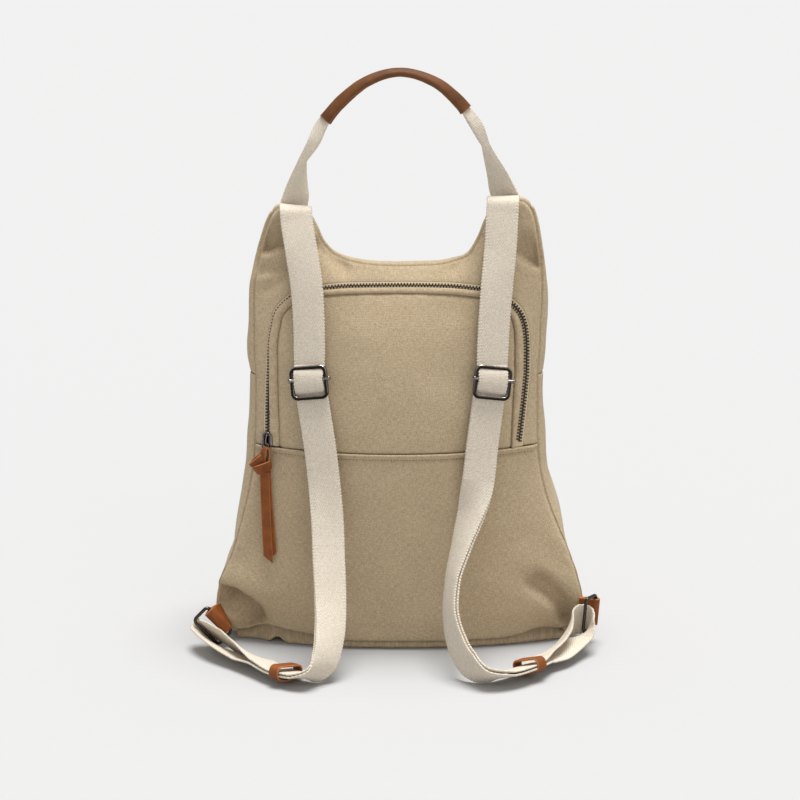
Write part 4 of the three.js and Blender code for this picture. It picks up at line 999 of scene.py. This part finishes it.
# Gussets, base and top band
gussets = [  # name, node, rows of the outline, columns across, squareness of the corners, dip at the seams
    ("basePanel", "base_panel", (-3.4, 3.4), 64, 60, 5.2),
    ("lowerGussetRight", "side_gusset_lower_right", (3.4, 16), 40, 6, 1.9),
    ("upperGussetRight", "side_gusset_upper_right", (16, 23), 32, 4, 1.9),
    ("topBand", "top_band", (23, 43), 20, 4, 0.6),
    ("upperGussetLeft", "side_gusset_upper_left", (43, 50), 32, 4, 1.9),
    ("lowerGussetLeft", "side_gusset_lower_left", (50, 62.6), 40, 6, 1.9),
]
base = {"recess": 3.4, "flat": 3.0, "flatEnds": 10, "roll": 0.3, "rollShare": 0.14, "sunkZ": (2, 11),
        "archX": -101, "archReach": 7, "archLift": 9.0, "archZ": 6}  # the base lifts off the floor at archX
plain = {"recess": 0.9, "seam": 0.9, "slack": 0.9, "slackSize": 32, "calm": 12}
rises = {"pucker": 40, "arch": 5}  # how fast they fade across the base


def gussetShape(rows, columns, square, sunk, seed):
    # Swells past its two seams by the crown times 1 less a high power of the way across; both ends dip into
    # seams. Only the base lies flat, rolls beside its seams and steps back above the floor.
    fine = np.linspace(*rows, 3000)
    x, z, *_ = outlineAt(fine)
    run = np.r_[0, np.cumsum(np.hypot(np.diff(x), np.diff(z)))]
    length = (gradedSteps(run[-1], 5, 1.0, 2.4) * run[-1])[:, None]
    b = (0.5 - 0.5 * np.cos(np.linspace(0, np.pi, columns)))[None]
    x, z, nx, nz, crown = outlineAt(np.interp(length, run, fine))
    seamX, seamZ = x - nx * crown, z - nz * crown
    back, front, lift = backAt(seamX, seamZ), frontAt(seamX, seamZ), puckerAt(seamX, seamZ)
    across, beyond = b * (front - back), (1 - b) * (front - back)
    fromEnd = np.minimum(length, run[-1] - length)
    fromSide = np.minimum(b, 1 - b) * (front - back)
    swell = np.minimum(1, 1.03 * (1 - np.abs(2 * b - 1) ** square))
    out = crown * swell - tucked(fromEnd, 1.1, 1.0) - tucked(fromSide, 0.5, 1)
    if rows[0] > 0:
        calm = np.clip(np.minimum(fromEnd, fromSide) / plain["calm"], 0, 1)
        out = out + plain["slack"] * softNoise(length, across, plain["slackSize"], seed) * calm
    out = out + gathered(fromSide, length, seed + 1)
    arch = base["archLift"] * bell((seamX - base["archX"]) / base["archReach"])
    arch = arch * np.clip(1 - z / base["archZ"], 0, 1)
    pucker = lift * np.maximum(0, 1 - rises["pucker"] * b)
    raised = np.maximum(pucker, arch * np.maximum(0, 1 - rises["arch"] * b))
    pointZ = seamZ + nz * out + raised
    if rows[0] > 0:
        pointZ = np.maximum(pointZ, 0.0)
        dips = (bell(distance / plain["seam"]) for distance in (across, beyond))
        y = lerp(back + plain["recess"], front - plain["recess"], b) + sunk * np.subtract(*dips)
    else:
        pointZ = np.maximum(pointZ - base["flat"] * swell * np.clip(fromEnd / base["flatEnds"], 0, 1), 0.0)
        rolls = (np.sin(np.minimum(1, share / base["rollShare"]) * np.pi) for share in (1 - b, b))
        y = lerp(back + base["recess"], front - base["recess"], b) + base["roll"] * np.subtract(*rolls)
        y = y + sunk * smoothStep(pointZ, *base["sunkZ"]) * np.sign(0.5 - b)
    return settled(seamX + nx * out, y, pointZ), mapUv(across, length)


for order, (name, node, *shape) in enumerate(gussets):
    canvasPanel(name, node, *gussetShape(*shape, 60 + 3 * order))
print("gussets ready")

# Stitches under the ridge
stitch = {"pitch": 2.5, "long": 1.7, "radius": 0.36, "sink": 0.35, "flat": 0.8, "deep": 0.05}
t = np.linspace(-1, 1, 6)[:, None]
bulge = stitch["radius"] * np.sqrt(np.maximum(0.06, 1 - t**4))
turn = circle(6)
stitchPoints = np.stack(np.broadcast_arrays(
    np.linspace(-0.5, 0.5, 6)[:, None] * stitch["long"], bulge * turn[:, 0],
    -stitch["sink"] * t**4 + stitch["flat"] * bulge * turn[:, 1]), -1)
oneStitch = surface(stitchPoints, around=True, caps=True)
spotX = np.arange(leftEnd[0] + 5, rightEnd[0] - 4, stitch["pitch"])
level = np.ones(len(spotX))
spotZ = (bag["seamZ"] - ridge["stitch"]) * level
stitchDeep = waves(spotX, spotZ, 3) * ridge["stitch"] / ridge["calm"]
stitchDeep = stitchDeep - ridgeAt(ridge["stitch"] * level, spotX)
here, along, aside, out = backFrame(spotX, spotZ, stitchDeep - stitch["deep"], level, 0 * level)
addPiece("seamStitches", [repeated(oneStitch, here, np.stack([along, aside, out], 1))], threadCloth)

# Bottom corners: leather tabs and the rings they hold
ring = {"long": 26, "short": 13.2, "wire": 1.4, "corner": 3.4}
tab = {"width": 23, "thick": 1.7, "slack": 0.4, "pinch": 0.2, "hidden": 1.5}
corners = {
    "left": {"root": (-144.6, -50, 21.4), "bar": (-147.6, -62.1, 23.2), "seam": (0.508, 0, -0.861),
             "reach": 6.1, "along": (0.69, 0, -0.724), "outward": (-0.57, -0.64, -0.51),
             "swing": (-0.693, -0.245, -0.675)},
    "right": {"root": (147.6, -49.6, 26), "bar": (158.3, -52, 26), "seam": (0, 0, 1), "reach": 2.65,
              "along": (0.08, 0, 1), "outward": (0.97, -0.22, 0), "swing": (-0.56, -0.8, -0.1)},
}


def cornerAt(side):
    # Bars of one corner: the tab folds round one bar of the ring, and the ring swings out to its other bar.
    c = {key: np.array(value, float) for key, value in corners[side].items()}
    along = unit(c["along"])
    outward, swing = squared(c["outward"], along), squared(c["swing"], along)
    c.update(along=along, outward=outward, swing=swing, normal=np.cross(along, outward), seam=unit(c["seam"]))
    c["webBar"] = c["bar"] + swing * (ring["short"] + 2 * ring["wire"])
    return c


def bandSurface(points, across, width, thick, step, flatSteps, slant=0.0):
    # Thin band along a curve through the points, its width turned by the blended across directions; a slant
    # shifts its last part along the band by the place across, which cuts the end at an angle.
    rows = evenRows(points, 0, len(points) - 1, step)
    centre, tangent, wide, normal = spineAt(np.concatenate([points, across], 1), rows)
    section, rim = thinSection(width, thick, flatSteps)
    ramp = slant * smoothStep(np.linspace(0, 1, len(rows)), 0.86, 1.0)[:, None] * section[:, 0]
    grid = swept(centre, wide, normal, section) + ramp[..., None] * tangent[:, None]
    return surface(grid, rim=rim, around=True, caps=True)


def loopSurface(middle, path, across, upward, section, rim):
    # Section carried round a closed path of (across, upward) places with their outward directions.
    spots, outs = path
    centre = middle + spots[:, :1] * across + spots[:, 1:] * upward
    away = unit(outs[:, :1] * across + outs[:, 1:] * upward)
    return tube(centre, away, np.cross(across, upward), section, rim=rim, loop=True)


for side in ("left", "right"):
    c = cornerAt(side)
    fold = ring["wire"] + tab["slack"] + tab["thick"] / 2
    turn = np.linspace(0, np.pi, 7)[:, None]
    bend = c["bar"] + fold * c["normal"] * np.cos(turn) + c["reach"] * c["outward"] * np.sin(turn)
    pinch = c["normal"] * (tab["thick"] / 2 + tab["pinch"])
    hidden = c["root"] - tab["hidden"] * unit(c["bar"] - c["root"])
    path = np.stack([hidden + pinch, c["root"] + pinch, *bend, c["root"] - pinch, hidden - pinch])
    across = np.stack([c["seam"]] * 2 + [c["along"]] * 7 + [c["seam"]] * 2)
    band = bandSurface(path, across, tab["width"], tab["thick"], 0.5, 14)
    addSide("ringTab", "ring_tab_", side, band, tanLeather)
    twoWires = 2 * ring["wire"]
    path = roundedLoop(ring["long"] + twoWires, ring["short"] + twoWires, ring["corner"], 10, 8)
    middle = lerp(c["bar"], c["webBar"], 0.5)
    # the whole wire takes a little of the pale edge tone: a faint painted highlight
    wire = loopSurface(middle, path, c["along"], c["swing"], ring["wire"] * circle(14), 0.08)
    addSide("strapRing", "strap_ring_", side, wire, gunmetal)

# Shoulder straps: one band of webbing runs down, turns round the ring's bar and comes back to the slider
web = {"width": 24.8, "thick": 1.7, "step": 0.45, "scallop": 0.7, "pick": 2.5, "uneven": 0.1, "returnRow": 9,
       "sliderRow": 10, "hump": 5.5, "humpReach": 11.8, "humpUp": 2.0, "humpPower": 2.6, "narrow": 0.07}
straps = {  # x y z of the middle between the layers, across direction, gap between layers
    "left": np.array([
        [-84.2, -13.2, 354.5, 1, 0, -0.11, 2.2], [-84.1, -20, 355, 1, 0, -0.11, 2.2],
        [-83.9, -25.5, 353.4, 1, 0, -0.11, 2.2], [-83.1, -29, 346, 1, 0, -0.13, 2.2],
        [-79.5, -37.5, 325, 1, 0, -0.12, 2.2], [-74.8, -46, 296, 1, -0.14, -0.1, 2.2],
        [-72.8, -53.5, 262, 1, -0.22, -0.02, 2.2], [-72.6, -58, 239, 1, -0.22, 0.05, 2.2],
        [-72.5, -59.5, 232.2, 1, -0.22, 0.05, 2.2], [-72.4, -61, 224.8, 1, -0.22, 0.05, 2.2],
        [-72.2, -61.6, 222, 1, -0.22, 0.05, 2.2], [-71.9, -62.2, 219.2, 1, -0.22, 0.02, 2.2],
        [-71, -63.6, 211.8, 1, -0.22, -0.02, 2.2], [-69.6, -65, 203, 1, -0.22, -0.1, 2.2],
        [-64.6, -72, 171, 1, -0.22, -0.1, 2.2], [-61, -78.5, 140.4, 1, -0.22, -0.08, 2.4],
        [-58.6, -88, 113.3, 1, 0.02, -0.06, 2.4], [-57.4, -101, 86.8, 0.98, 0.08, -0.12, 2.4],
        [-56, -117, 60, 0.94, 0.2, -0.2, 2.4], [-56.3, -135.5, 37, 0.86, 0.38, -0.3, 2.6],
        [-60.5, -150, 19.4, 0.74, 0.54, -0.38, 2.3], [-70, -156.5, 10, 0.62, 0.7, -0.34, 2.3],
        [-81.5, -153.5, 8.6, 0.55, 0.8, -0.24, 2.4], [-97, -141.5, 8, 0.5, 0.84, -0.2, 2.6],
        [-112, -124, 8.8, 0.52, 0.78, -0.3, 3.6]]),
    "right": np.array([
        [81.5, -13.2, 361.8, 1, 0, 0.04, 2.2], [81.4, -20, 362.3, 1, 0, 0.04, 2.2],
        [81.2, -25.5, 360.6, 1, 0, 0.04, 2.2], [80.6, -29, 352, 1, 0, 0.06, 2.2],
        [79, -37.5, 325, 1, 0, 0.08, 2.2], [76, -46, 296, 1, 0.14, 0.08, 2.2],
        [73.4, -53.5, 262, 1, 0.22, 0.06, 2.2], [72.4, -58, 239, 1, 0.22, 0, 2.2],
        [72.2, -59.5, 232.2, 1, 0.22, -0.02, 2.2], [72, -61, 224.8, 1, 0.22, -0.02, 2.2],
        [71.8, -61.6, 222, 1, 0.22, -0.02, 2.2], [71.4, -62.2, 219.2, 1, 0.22, 0, 2.2],
        [70.2, -63.6, 211.8, 1, 0.22, 0.04, 2.2], [69, -65, 203, 1, 0.22, 0.08, 2.2],
        [64.6, -72, 171, 1, 0.22, 0.08, 2.2], [61.6, -78, 145, 0.98, 0.1, 0.1, 2.4],
        [56.4, -84, 121, 0.8, -0.56, 0.14, 2.4], [48.6, -95, 97, 0.52, -0.82, 0.16, 2.4],
        [41.2, -108, 72, 0.32, -0.92, 0.18, 2.4], [39.4, -123.5, 48, 0.34, -0.9, 0.26, 2.6],
        [44, -137, 30, 0.5, -0.79, 0.34, 2.8], [53.6, -150, 16.6, 0.62, -0.68, 0.4, 3],
        [67, -157, 10.0, 0.62, -0.7, 0.42, 3.2], [83.4, -151.5, 8.9, 0.55, -0.78, 0.34, 3],
        [102, -134.5, 8.6, 0.5, -0.8, 0.34, 2.6]]),
}
loops = {  # the single layer from there through the ring and back: x y z, across direction
    "left": np.array([
        [-126, -110, 6.4, 0.62, 0.72, -0.24], [-139.5, -98, 7.8, 0.68, 0.58, -0.38],
        [-150, -87.5, 9.4, 0.73, 0.42, -0.5], [-157.5, -77, 10.2, 0.77, 0.15, -0.58],
        [-161, -67.5, 10.4, 0.76, 0, -0.63], [-158.6, -61.2, 12.8, 0.72, 0, -0.69],
        [-153.4, -68, 14.6, 0.66, 0.12, -0.74], [-140, -86, 13, 0.42, 0.36, -0.83],
        [-126, -106.5, 11.8, 0.48, 0.52, -0.68]]),
    "right": np.array([
        [112, -117, 7.2, 0.55, -0.8, 0.12], [125.5, -104.5, 7.4, 0.68, -0.72, 0.05],
        [136, -89, 9.4, 0.73, -0.66, 0.08], [145.5, -76.5, 11.6, 0.72, -0.62, 0.25],
        [151.5, -68.5, 14.5, 0.5, -0.45, 0.7], [153.8, -63, 18, 0.2, -0.15, 0.95],
        [151.5, -59, 20.6, 0, 0, 1], [146, -58.5, 21.5, 0, 0, 1], [139.5, -63.5, 20.2, 0.15, -0.15, 0.96],
        [135.2, -71.5, 17.2, 0.4, -0.3, 0.86], [130.8, -82.5, 13.8, 0.56, -0.38, 0.73],
        [124.6, -95.5, 11, 0.58, -0.46, 0.67], [113.5, -113, 10, 0.54, -0.66, 0.52]]),
}


def strapPath(side):
    # Running layer at half the gap, the loop through the ring, then the layer back; a hump rises over the
    # slider bar.
    rows = straps[side]
    place, _, across, normal = spineAt(rows, np.arange(len(rows)))
    half = rows[:, 6:] / 2
    down = np.concatenate([place + normal * half, across], 1)
    back = np.concatenate([place - normal * half, across], 1)[web["returnRow"]:][::-1]
    table = np.concatenate([down, loops[side], back])
    at = evenRows(table[:, :3], 0, len(table) - 1, web["step"])
    centre, _, across, normal = spineAt(table, at)
    run = runAlong(centre)
    fromBar = np.abs(run - np.interp(web["sliderRow"], at, run) + web["humpUp"]) / web["humpReach"]
    hump = web["hump"] * np.clip(1 - fromBar ** web["humpPower"], 0, 1)
    return centre + normal * hump[:, None], across, normal, fromBar


def webSurface(centre, across, normal, fromBar, seed):
    # Band with half-round selvages that swell at every pick, and a faint unevenness of its faces.
    run = runAlong(centre)
    section, _ = thinSection(web["width"], web["thick"], 5, 3)
    section = np.broadcast_to(section, (len(run), *section.shape)).copy()
    wide = np.abs(section[0, :, 0]) / (web["width"] / 2)
    swellOut = web["scallop"] * np.abs(np.sin(np.pi * run / web["pick"]))[:, None] * (wide > 0.9)
    section[..., 0] += np.sign(section[..., 0]) * swellOut
    section[..., 0] *= 1 - web["narrow"] * bell(fromBar)[:, None]
    section[..., 1] += web["uneven"] * softNoise(run[:, None], section[..., 0], 7, seed)
    uv = mapUv(np.r_[section[0, :, 0], section[0, 0, 0]][None], run[:, None])
    return tube(centre, across, normal, section, uv), run[-1]


slider = {"width": 31, "height": 27.6, "windowWidth": 24.6, "windowHeight": 20.8, "depth": 3.5, "corner": 4.2,
          "bar": 1.6, "floor": 2.15, "square": 0.62}
looseBar = {"radius": 1.3, "long": 35.4, "down": 0.5, "aside": 0.8, "out": 0.45,
            "ends": np.array([  # share of the half length and of the radius, from the tip inwards
                [1, 0.15], [0.995, 0.6], [0.97, 1.1], [0.92, 1.45], [0.88, 1.35], [0.85, 1.1], [0.82, 1]])}
keeper = {"rows": {"left": 22.6, "right": 24.0}, "across": 26.8, "high": 8.4, "long": 9.5, "wall": 1.7,
          "rise": 1.3, "round": 0.52, "wave": 0.9, "waveSize": 4.6, "waveStart": 0.6, "slack": 0.5}
seeds = {"left": 71, "right": 73}
strapLength = {}


def frameAt(rows, row):
    # Place, tangent, across and outward normal at one row.
    return (v[0] for v in spineAt(rows, np.array([float(row)])))


for side in ("left", "right"):
    rows = straps[side]
    band, strapLength[side] = webSurface(*strapPath(side), seeds[side])
    addSide("shoulderStrap", "shoulder_strap_", side, band, creamWeb, sharp=60)

    # slider frame: a rounded wire with softly squared section, standing on the running layer
    place, tangent, across, normal = frameAt(rows, web["sliderRow"])
    floorUp = rows[web["sliderRow"], 6] / 2 + web["thick"] / 2 + slider["floor"] - web["thick"]
    middle = place + normal * (floorUp + slider["depth"] / 2)
    path = roundedLoop((slider["width"] + slider["windowWidth"]) / 2,
                       (slider["height"] + slider["windowHeight"]) / 2, slider["corner"], 14, 9)
    turn = circle(20)
    section = blunted(turn, slider["square"]) * [slider["bar"], slider["depth"] / 2]
    away = path[1][:, :1] * across - path[1][:, 1:] * tangent
    upward = unit(away)[:, 2:] * turn[:, 0] + normal[2] * turn[:, 1]
    # painted highlight: bevels of the section that face up take the metal's pale edge tone
    rim = np.abs(2 * turn[:, 0] * turn[:, 1]) ** 3 * np.clip(1.6 * upward, 0, 1)
    wire = loopSurface(middle, path, across, -tangent, section, rim)
    addSide("strapSlider", "strap_slider_", side, wire, gunmetal)

    # loose bar with button ends
    ends = looseBar["ends"]
    stations = np.r_[-ends[:, 0], 0, ends[::-1, 0]][:, None] * looseBar["long"] / 2
    radii = np.r_[ends[:, 1], 1, ends[::-1, 1]] * looseBar["radius"]
    barMiddle = (middle - (web["humpUp"] + looseBar["down"]) * tangent + looseBar["aside"] * across
                 + looseBar["out"] * slider["depth"] * normal)
    # the whole bar takes part of the pale edge tone: a painted highlight
    bar = tube(barMiddle + stations * across, tangent, normal, radii[:, None, None] * circle(14), rim=0.35)
    addSide("sliderBar", "slider_bar_", side, bar, gunmetal)

    # keeper: a leather loop, wider than the doubled webbing and slack on top
    place, tangent, across, normal = frameAt(rows, keeper["rows"][side])
    wall, high = keeper["wall"], keeper["high"]
    spots, outs = roundedLoop(keeper["across"] + wall, high + wall, keeper["round"] * high, 16, 12)
    wave = keeper["wave"] * np.cos(spots[:, 0] / keeper["waveSize"] + keeper["waveStart"])
    slack = np.clip(spots[:, 1] / high * 2, 0, 1) * (wave + keeper["slack"])
    centre = place - normal * keeper["rise"] + spots[:, :1] * across + (spots[:, 1] + slack)[:, None] * normal
    away = outs[:, :1] * across + outs[:, 1:] * normal
    section, rim = thinSection(keeper["long"], wall, 8)
    band = tube(centre, tangent, away, section, rim=rim, loop=True)
    addSide("strapKeeper", "strap_keeper_", side, band, tanLeather)
print("straps:", {side: round(length) for side, length in strapLength.items()}, "mm of webbing")

# Handle: webbing that folds lengthwise on its way into a leather wrap
handle = {
    "rows": np.array([  # x y z, crease from the middle, angles of outer and inner part, squeeze, 1 if centred
        [-97.5, -14, 354.5, -12.5, 28, 28, 1, 0], [-89.6, -14, 373, -11, 16, 44, 1, 0],
        [-77.6, -14, 390, -6.9, -2, 86, 0.98, 0], [-65.8, -14, 405.5, -2.6, -12, 122, 0.96, 0],
        [-59, -12, 420, 0, -32, 148, 0.78, 0], [-47.7, -10, 438.7, 0, -40, 140, 0.56, 1],
        [-25.6, -10, 455.8, 0, -62, 118, 0.52, 1], [0, -10, 462.3, 0, -75, 105, 0.52, 1],
        [27, -10, 454.4, 0, -62, 118, 0.52, 1], [44.5, -10, 440, 0, -40, 140, 0.56, 1],
        [49.8, -12, 429.5, 0, -32, 148, 0.66, 0], [57.7, -14, 415.9, -2.6, -12, 122, 0.96, 0],
        [66.6, -14, 402.2, -6.9, -2, 86, 0.98, 0], [84.6, -14, 380.4, -11, 16, 44, 1, 0],
        [95.5, -14, 361.5, -12.5, 28, 28, 1, 0]]),
    "bend": 3.4, "half": 12.5, "step": 0.9, "hold": 0.8,
    "wrapRows": np.array([  # x y z of the wrap's middle and its lean
        [-64.6, -10, 418.6, 150], [-47.6, -10, 438.8, 142], [-25.6, -10, 455.7, 118], [0, -10, 462.3, 103],
        [27, -10, 454.4, 118], [44.5, -10, 440.2, 142], [58, -10, 424, 150]]),
    "wrapEnds": (0.27, 5.5), "wrapStep": 1.2, "wrapLong": 4.7, "wrapShort": 2.4, "wrapThick": 1.4,
    "slit": (-42, -42, -34, -14, -6, -4, -4), "slitHalf": 0.15, "around": 44, "blunt": 0.8,
    "flare": 0.07, "flareFade": 6, "uneven": 0.02,
}


def handleFrame(table, at):
    # Place and tangent along the handle, with the directions to the inside of its arch and away from
    # the viewer.
    place, tangent = curveAt(table[:, :3], at)
    inside = squared(np.stack([tangent[:, 2], 0 * at, -tangent[:, 0]], -1), tangent)
    return place, tangent, inside, np.cross(tangent, inside)


lastRow = len(handle["rows"]) - 1
at = evenRows(handle["rows"][:, :3], 0, lastRow, handle["step"])
place, tangent, inside, behind = handleFrame(handle["rows"], at)
crease, outerAngle, innerAngle, squeeze, centred = (
    tableAt(np.arange(lastRow + 1), handle["rows"][:, k], at)[:, None] for k in (3, 4, 5, 6, 7))
s = np.linspace(-handle["half"], handle["half"], 41)[None]
angle = np.radians(lerp(outerAngle, innerAngle, smoothStep((s - crease) / handle["bend"], -0.5, 0.5)))
ds = np.diff(s, axis=1, prepend=s[:, :1])
curveIn, curveBack = (np.cumsum(f(angle) * ds * squeeze, axis=1) for f in (np.cos, np.sin))
nearCrease = bell((s - crease) / handle["hold"])
nearCrease = nearCrease / nearCrease.sum(1, keepdims=True)
hold = lerp(nearCrease, 1 / s.size, np.clip(centred, 0, 1))
curveIn, curveBack = (v - (v * hold).sum(1, keepdims=True) for v in (curveIn, curveBack))
middleLine = np.stack([curveIn, curveBack], -1)
facing = np.stack([-np.sin(angle), np.cos(angle)], -1) * web["thick"] / 2
section = np.concatenate([middleLine + facing, (middleLine - facing)[:, ::-1]], 1)
uv = mapUv(np.r_[s[0], s[0, ::-1], s[0, :1]][None], runAlong(place)[:, None])
webbing = tube(place, inside, behind, section, uv)
addPiece("handleWebbing", [webbing], creamWeb, ["handle_webbing"], sharp=50)

# leather wrap: an oval tube slit along its lower front edge
at = evenRows(handle["wrapRows"][:, :3], *handle["wrapEnds"], handle["wrapStep"])
place, tangent, inside, behind = handleFrame(handle["wrapRows"], at)
wrapRow = np.arange(len(handle["wrapRows"]))
lean = np.radians(tableAt(wrapRow, handle["wrapRows"][:, 3], at))[:, None]
slit = np.radians(tableAt(wrapRow, handle["slit"], at))[:, None] - lean
turn = slit + np.linspace(handle["slitHalf"], 2 * np.pi - handle["slitHalf"], handle["around"])[None]
ends = np.minimum(at - at[0], at[-1] - at)[:, None]
flare = 1 + handle["flare"] * np.exp(-ends * handle["flareFade"])
flare = flare + handle["uneven"] * softNoise(at[:, None] * 14, turn, 3, 81)


def oval(grow):
    # Oval of two half axes with blunted ends, turned by the lean of the folded webbing.
    a = blunted(np.cos(turn), handle["blunt"]) * (handle["wrapLong"] + grow) * flare
    b = blunted(np.sin(turn), handle["blunt"]) * (handle["wrapShort"] + grow) * flare
    return np.stack([a * np.cos(lean) - b * np.sin(lean), a * np.sin(lean) + b * np.cos(lean)], -1)


grow = handle["wrapThick"] / 2
section = np.concatenate([oval(grow), oval(-grow)[:, ::-1]], 1)
rim = np.zeros(section.shape[:2])
slitEdge = handle["around"]
rim[:, [0, 1, slitEdge - 2, slitEdge - 1, slitEdge, slitEdge + 1, -2, -1]] = 1
rim[[0, -1]] = 1
wrap = tube(place, inside, behind, section, rim=rim)
addPiece("handleWrap", [wrap], wrapLeather, ["handle_wrap"], sharp=50)
print("handle ready")

# Zip slider, and its leather pull tied in an overhand knot
pull = {"x": -109.6, "knotZ": 149.5, "out": 7.4, "width": 7.8, "thick": 1.5, "tail": 71, "seatRow": 0.18,
        "tailDrop": 4, "tailOff": 3.2, "pinch": 0.18, "cup": 0.5}
foot = zipLine(np.array([2 * zipTop - pull["seatRow"]]), 0)
seat, _, _, seatOut = (v[0] for v in backFrame(foot[:, 0], foot[:, 1], 0.0, np.zeros(1), np.ones(1)))
up = squared(np.array([0, 0, 1.0]), seatOut)
aside = np.cross(up, seatOut)


def onSlider(a, l, h):
    # Point given beside the zip slider's seat, up from it and out of it.
    a, l, h = (np.asarray(v)[..., None] for v in (a, l, h))
    return seat + a * aside + l * up + h * seatOut


# wedge-shaped body with two lugs, a bridge over it and a small link below
zipHead = {"halfWide": 4.6, "halfLong": 6.4, "square": 0.7, "taper": 0.3,
           "lug": 0.22, "lugUp": 0.45, "lugLong": 0.22, "bailWide": 2.6, "bailThick": 1.2,
           "bailUp": -0.6, "bailHalf": 4.6, "bailFoot": 2.3, "bailHigh": 2.6,
           "linkAt": (-0.6, -5.6, 3.2), "linkRadius": 2.5, "linkWire": 0.75}
plateLevels = np.array([  # share of the outline, height, rim that takes a painted highlight
    [0.86, 0.9, 0], [1.0, 1.2, 0.25], [1.0, 1.9, 0.2], [0.94, 2.3, 0.5], [0.7, 2.55, 0.1], [0.3, 2.6, 0]])
size, high, rim = np.split(plateLevels, 3, axis=1)
spread, reachUp = blunted(circle(28), zipHead["square"]).T[:, None]
taper = 1 - zipHead["taper"] * reachUp
taper = taper + zipHead["lug"] * bell((reachUp - zipHead["lugUp"]) / zipHead["lugLong"])
plate = onSlider(zipHead["halfWide"] * size * spread * taper, zipHead["halfLong"] * size * reachUp,
                 np.broadcast_to(high, (len(high), 28)))
platePart = surface(plate, around=True, caps=True, rim=rim)
arch = np.linspace(0, np.pi, 14)
bail = onSlider(0 * arch, zipHead["bailUp"] - zipHead["bailHalf"] * np.cos(arch),
                zipHead["bailFoot"] + zipHead["bailHigh"] * np.sin(arch) ** zipHead["square"])
bailSection, bailRim = thinSection(zipHead["bailWide"], zipHead["bailThick"], 4, 3)
bailOut = np.cross(unit(np.gradient(bail, axis=0)), aside)
bailPart = tube(bail, aside, bailOut, bailSection, rim=0.5 * bailRim)
turn = circle(32)
linkSide = unit(0.9 * aside - 0.4 * seatOut)
linkOut = turn[:, :1] * linkSide + turn[:, 1:] * up
linkFace = unit(np.cross(linkSide, up))
link = onSlider(*zipHead["linkAt"]) + zipHead["linkRadius"] * linkOut
linkPart = tube(link, linkOut, linkFace, zipHead["linkWire"] * circle(10), rim=0.3, loop=True)
# the plate's upper levels, the bail's edges and the whole link take the pale edge tone as painted highlights
addPiece("zipSlider", [platePart, bailPart, linkPart], gunmetal, ["zip_slider"])

knot = backPoint(np.array(pull["x"]), np.array(float(pull["knotZ"])), -pull["out"])
right, out, rise = np.array([1.0, 0, 0]), np.array([0, -1.0, 0]), np.array([0, 0, 1.0])


def atKnot(points):
    # Points given to the right of the knot, above it and out of it.
    return knot + np.asarray(points, float) @ np.stack([right, rise, out])


def hang(start, shift, off, length):
    # A tail that leaves the knot and lies down the back.
    t = np.linspace(0, 1, 7)
    down = pull["knotZ"] - pull["tailDrop"] - length * t
    return backPoint(pull["x"] + start + shift * t, down, -off - pull["tailOff"] * (1 - t) ** 2)


def tiltedRing(place, radius, deep, tilt, width, flare):
    # Band round an ellipse whose plane is tilted in the view; it flares towards its upper edge, narrows at
    # both ends of the ellipse and is cupped across.
    turn = circle(48)
    axis = right * np.cos(tilt) + rise * np.sin(tilt)
    wide = rise * np.cos(tilt) - right * np.sin(tilt)
    away = axis * radius * turn[:, :1] + out * deep * turn[:, 1:]
    section, rim = thinSection(width, pull["thick"], 8)
    section = np.broadcast_to(section, (len(turn), *section.shape)).copy()
    section[..., 0] *= 1 - pull["pinch"] * np.abs(turn[:, :1]) ** 3
    section[..., 1] -= pull["cup"] * (np.abs(section[..., 0]) / (width / 2)) ** 2
    along, face = unit(wide + flare * unit(away)), unit(unit(away) - flare * wide)
    return tube(atKnot(place) + away, along, face, section, rim=rim, loop=True)


across = np.broadcast_to(right, (7, 3))
tails = [  # start and shift to the right, distance off the back, length, slant of the end
    (3.2, 1.6, 5.4, pull["tail"], 0.9), (4.4, 3.6, 2.6, pull["tail"] - 2, -0.8)]
strand = atKnot([(1.6, 0, 0.6), (1.9, 4.5, 1.8), (1.7, 9.7, 2.2), (3.0, 14.2, 1.6), (4.4, 16.1, 0.4),
                 (6.2, 14.2, -0.6), (6.6, 9.3, 0.2), (5.7, 4.5, 0.6), (5.0, 0, 0)])
strandWide = np.array([[0.95, -0.3, 0], [0.95, -0.3, 0.1], [0.95, -0.3, 0.1], [0.85, -0.5, 0], [0.7, -0.7, 0],
                       [0.5, -0.85, 0], [0.4, -0.9, 0], [0.5, -0.85, 0], [0.6, -0.8, 0]])
pullParts = [bandSurface(hang(*tail), across, pull["width"], pull["thick"], 1.0, 8, slant)
             for *tail, slant in tails]
pullParts += [
    bandSurface(strand, strandWide, 5.0, 1.3, 0.7, 7),
    tiltedRing((-2.3, 4.7, 0.3), 6.3, 3.6, np.radians(41), 6.8, 0.15),
    tiltedRing((1.9, -0.7, 0.6), 6.8, 4.6, np.radians(20), 9.4, 0.28),
]
addPiece("zipPull", pullParts, tanLeather, ["zip_pull"])
print("zip pull ready")

# The box of the solids and of the dressed bag
low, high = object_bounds()
print("visual box:", [round(v, 4) for v in (*low, *high)])
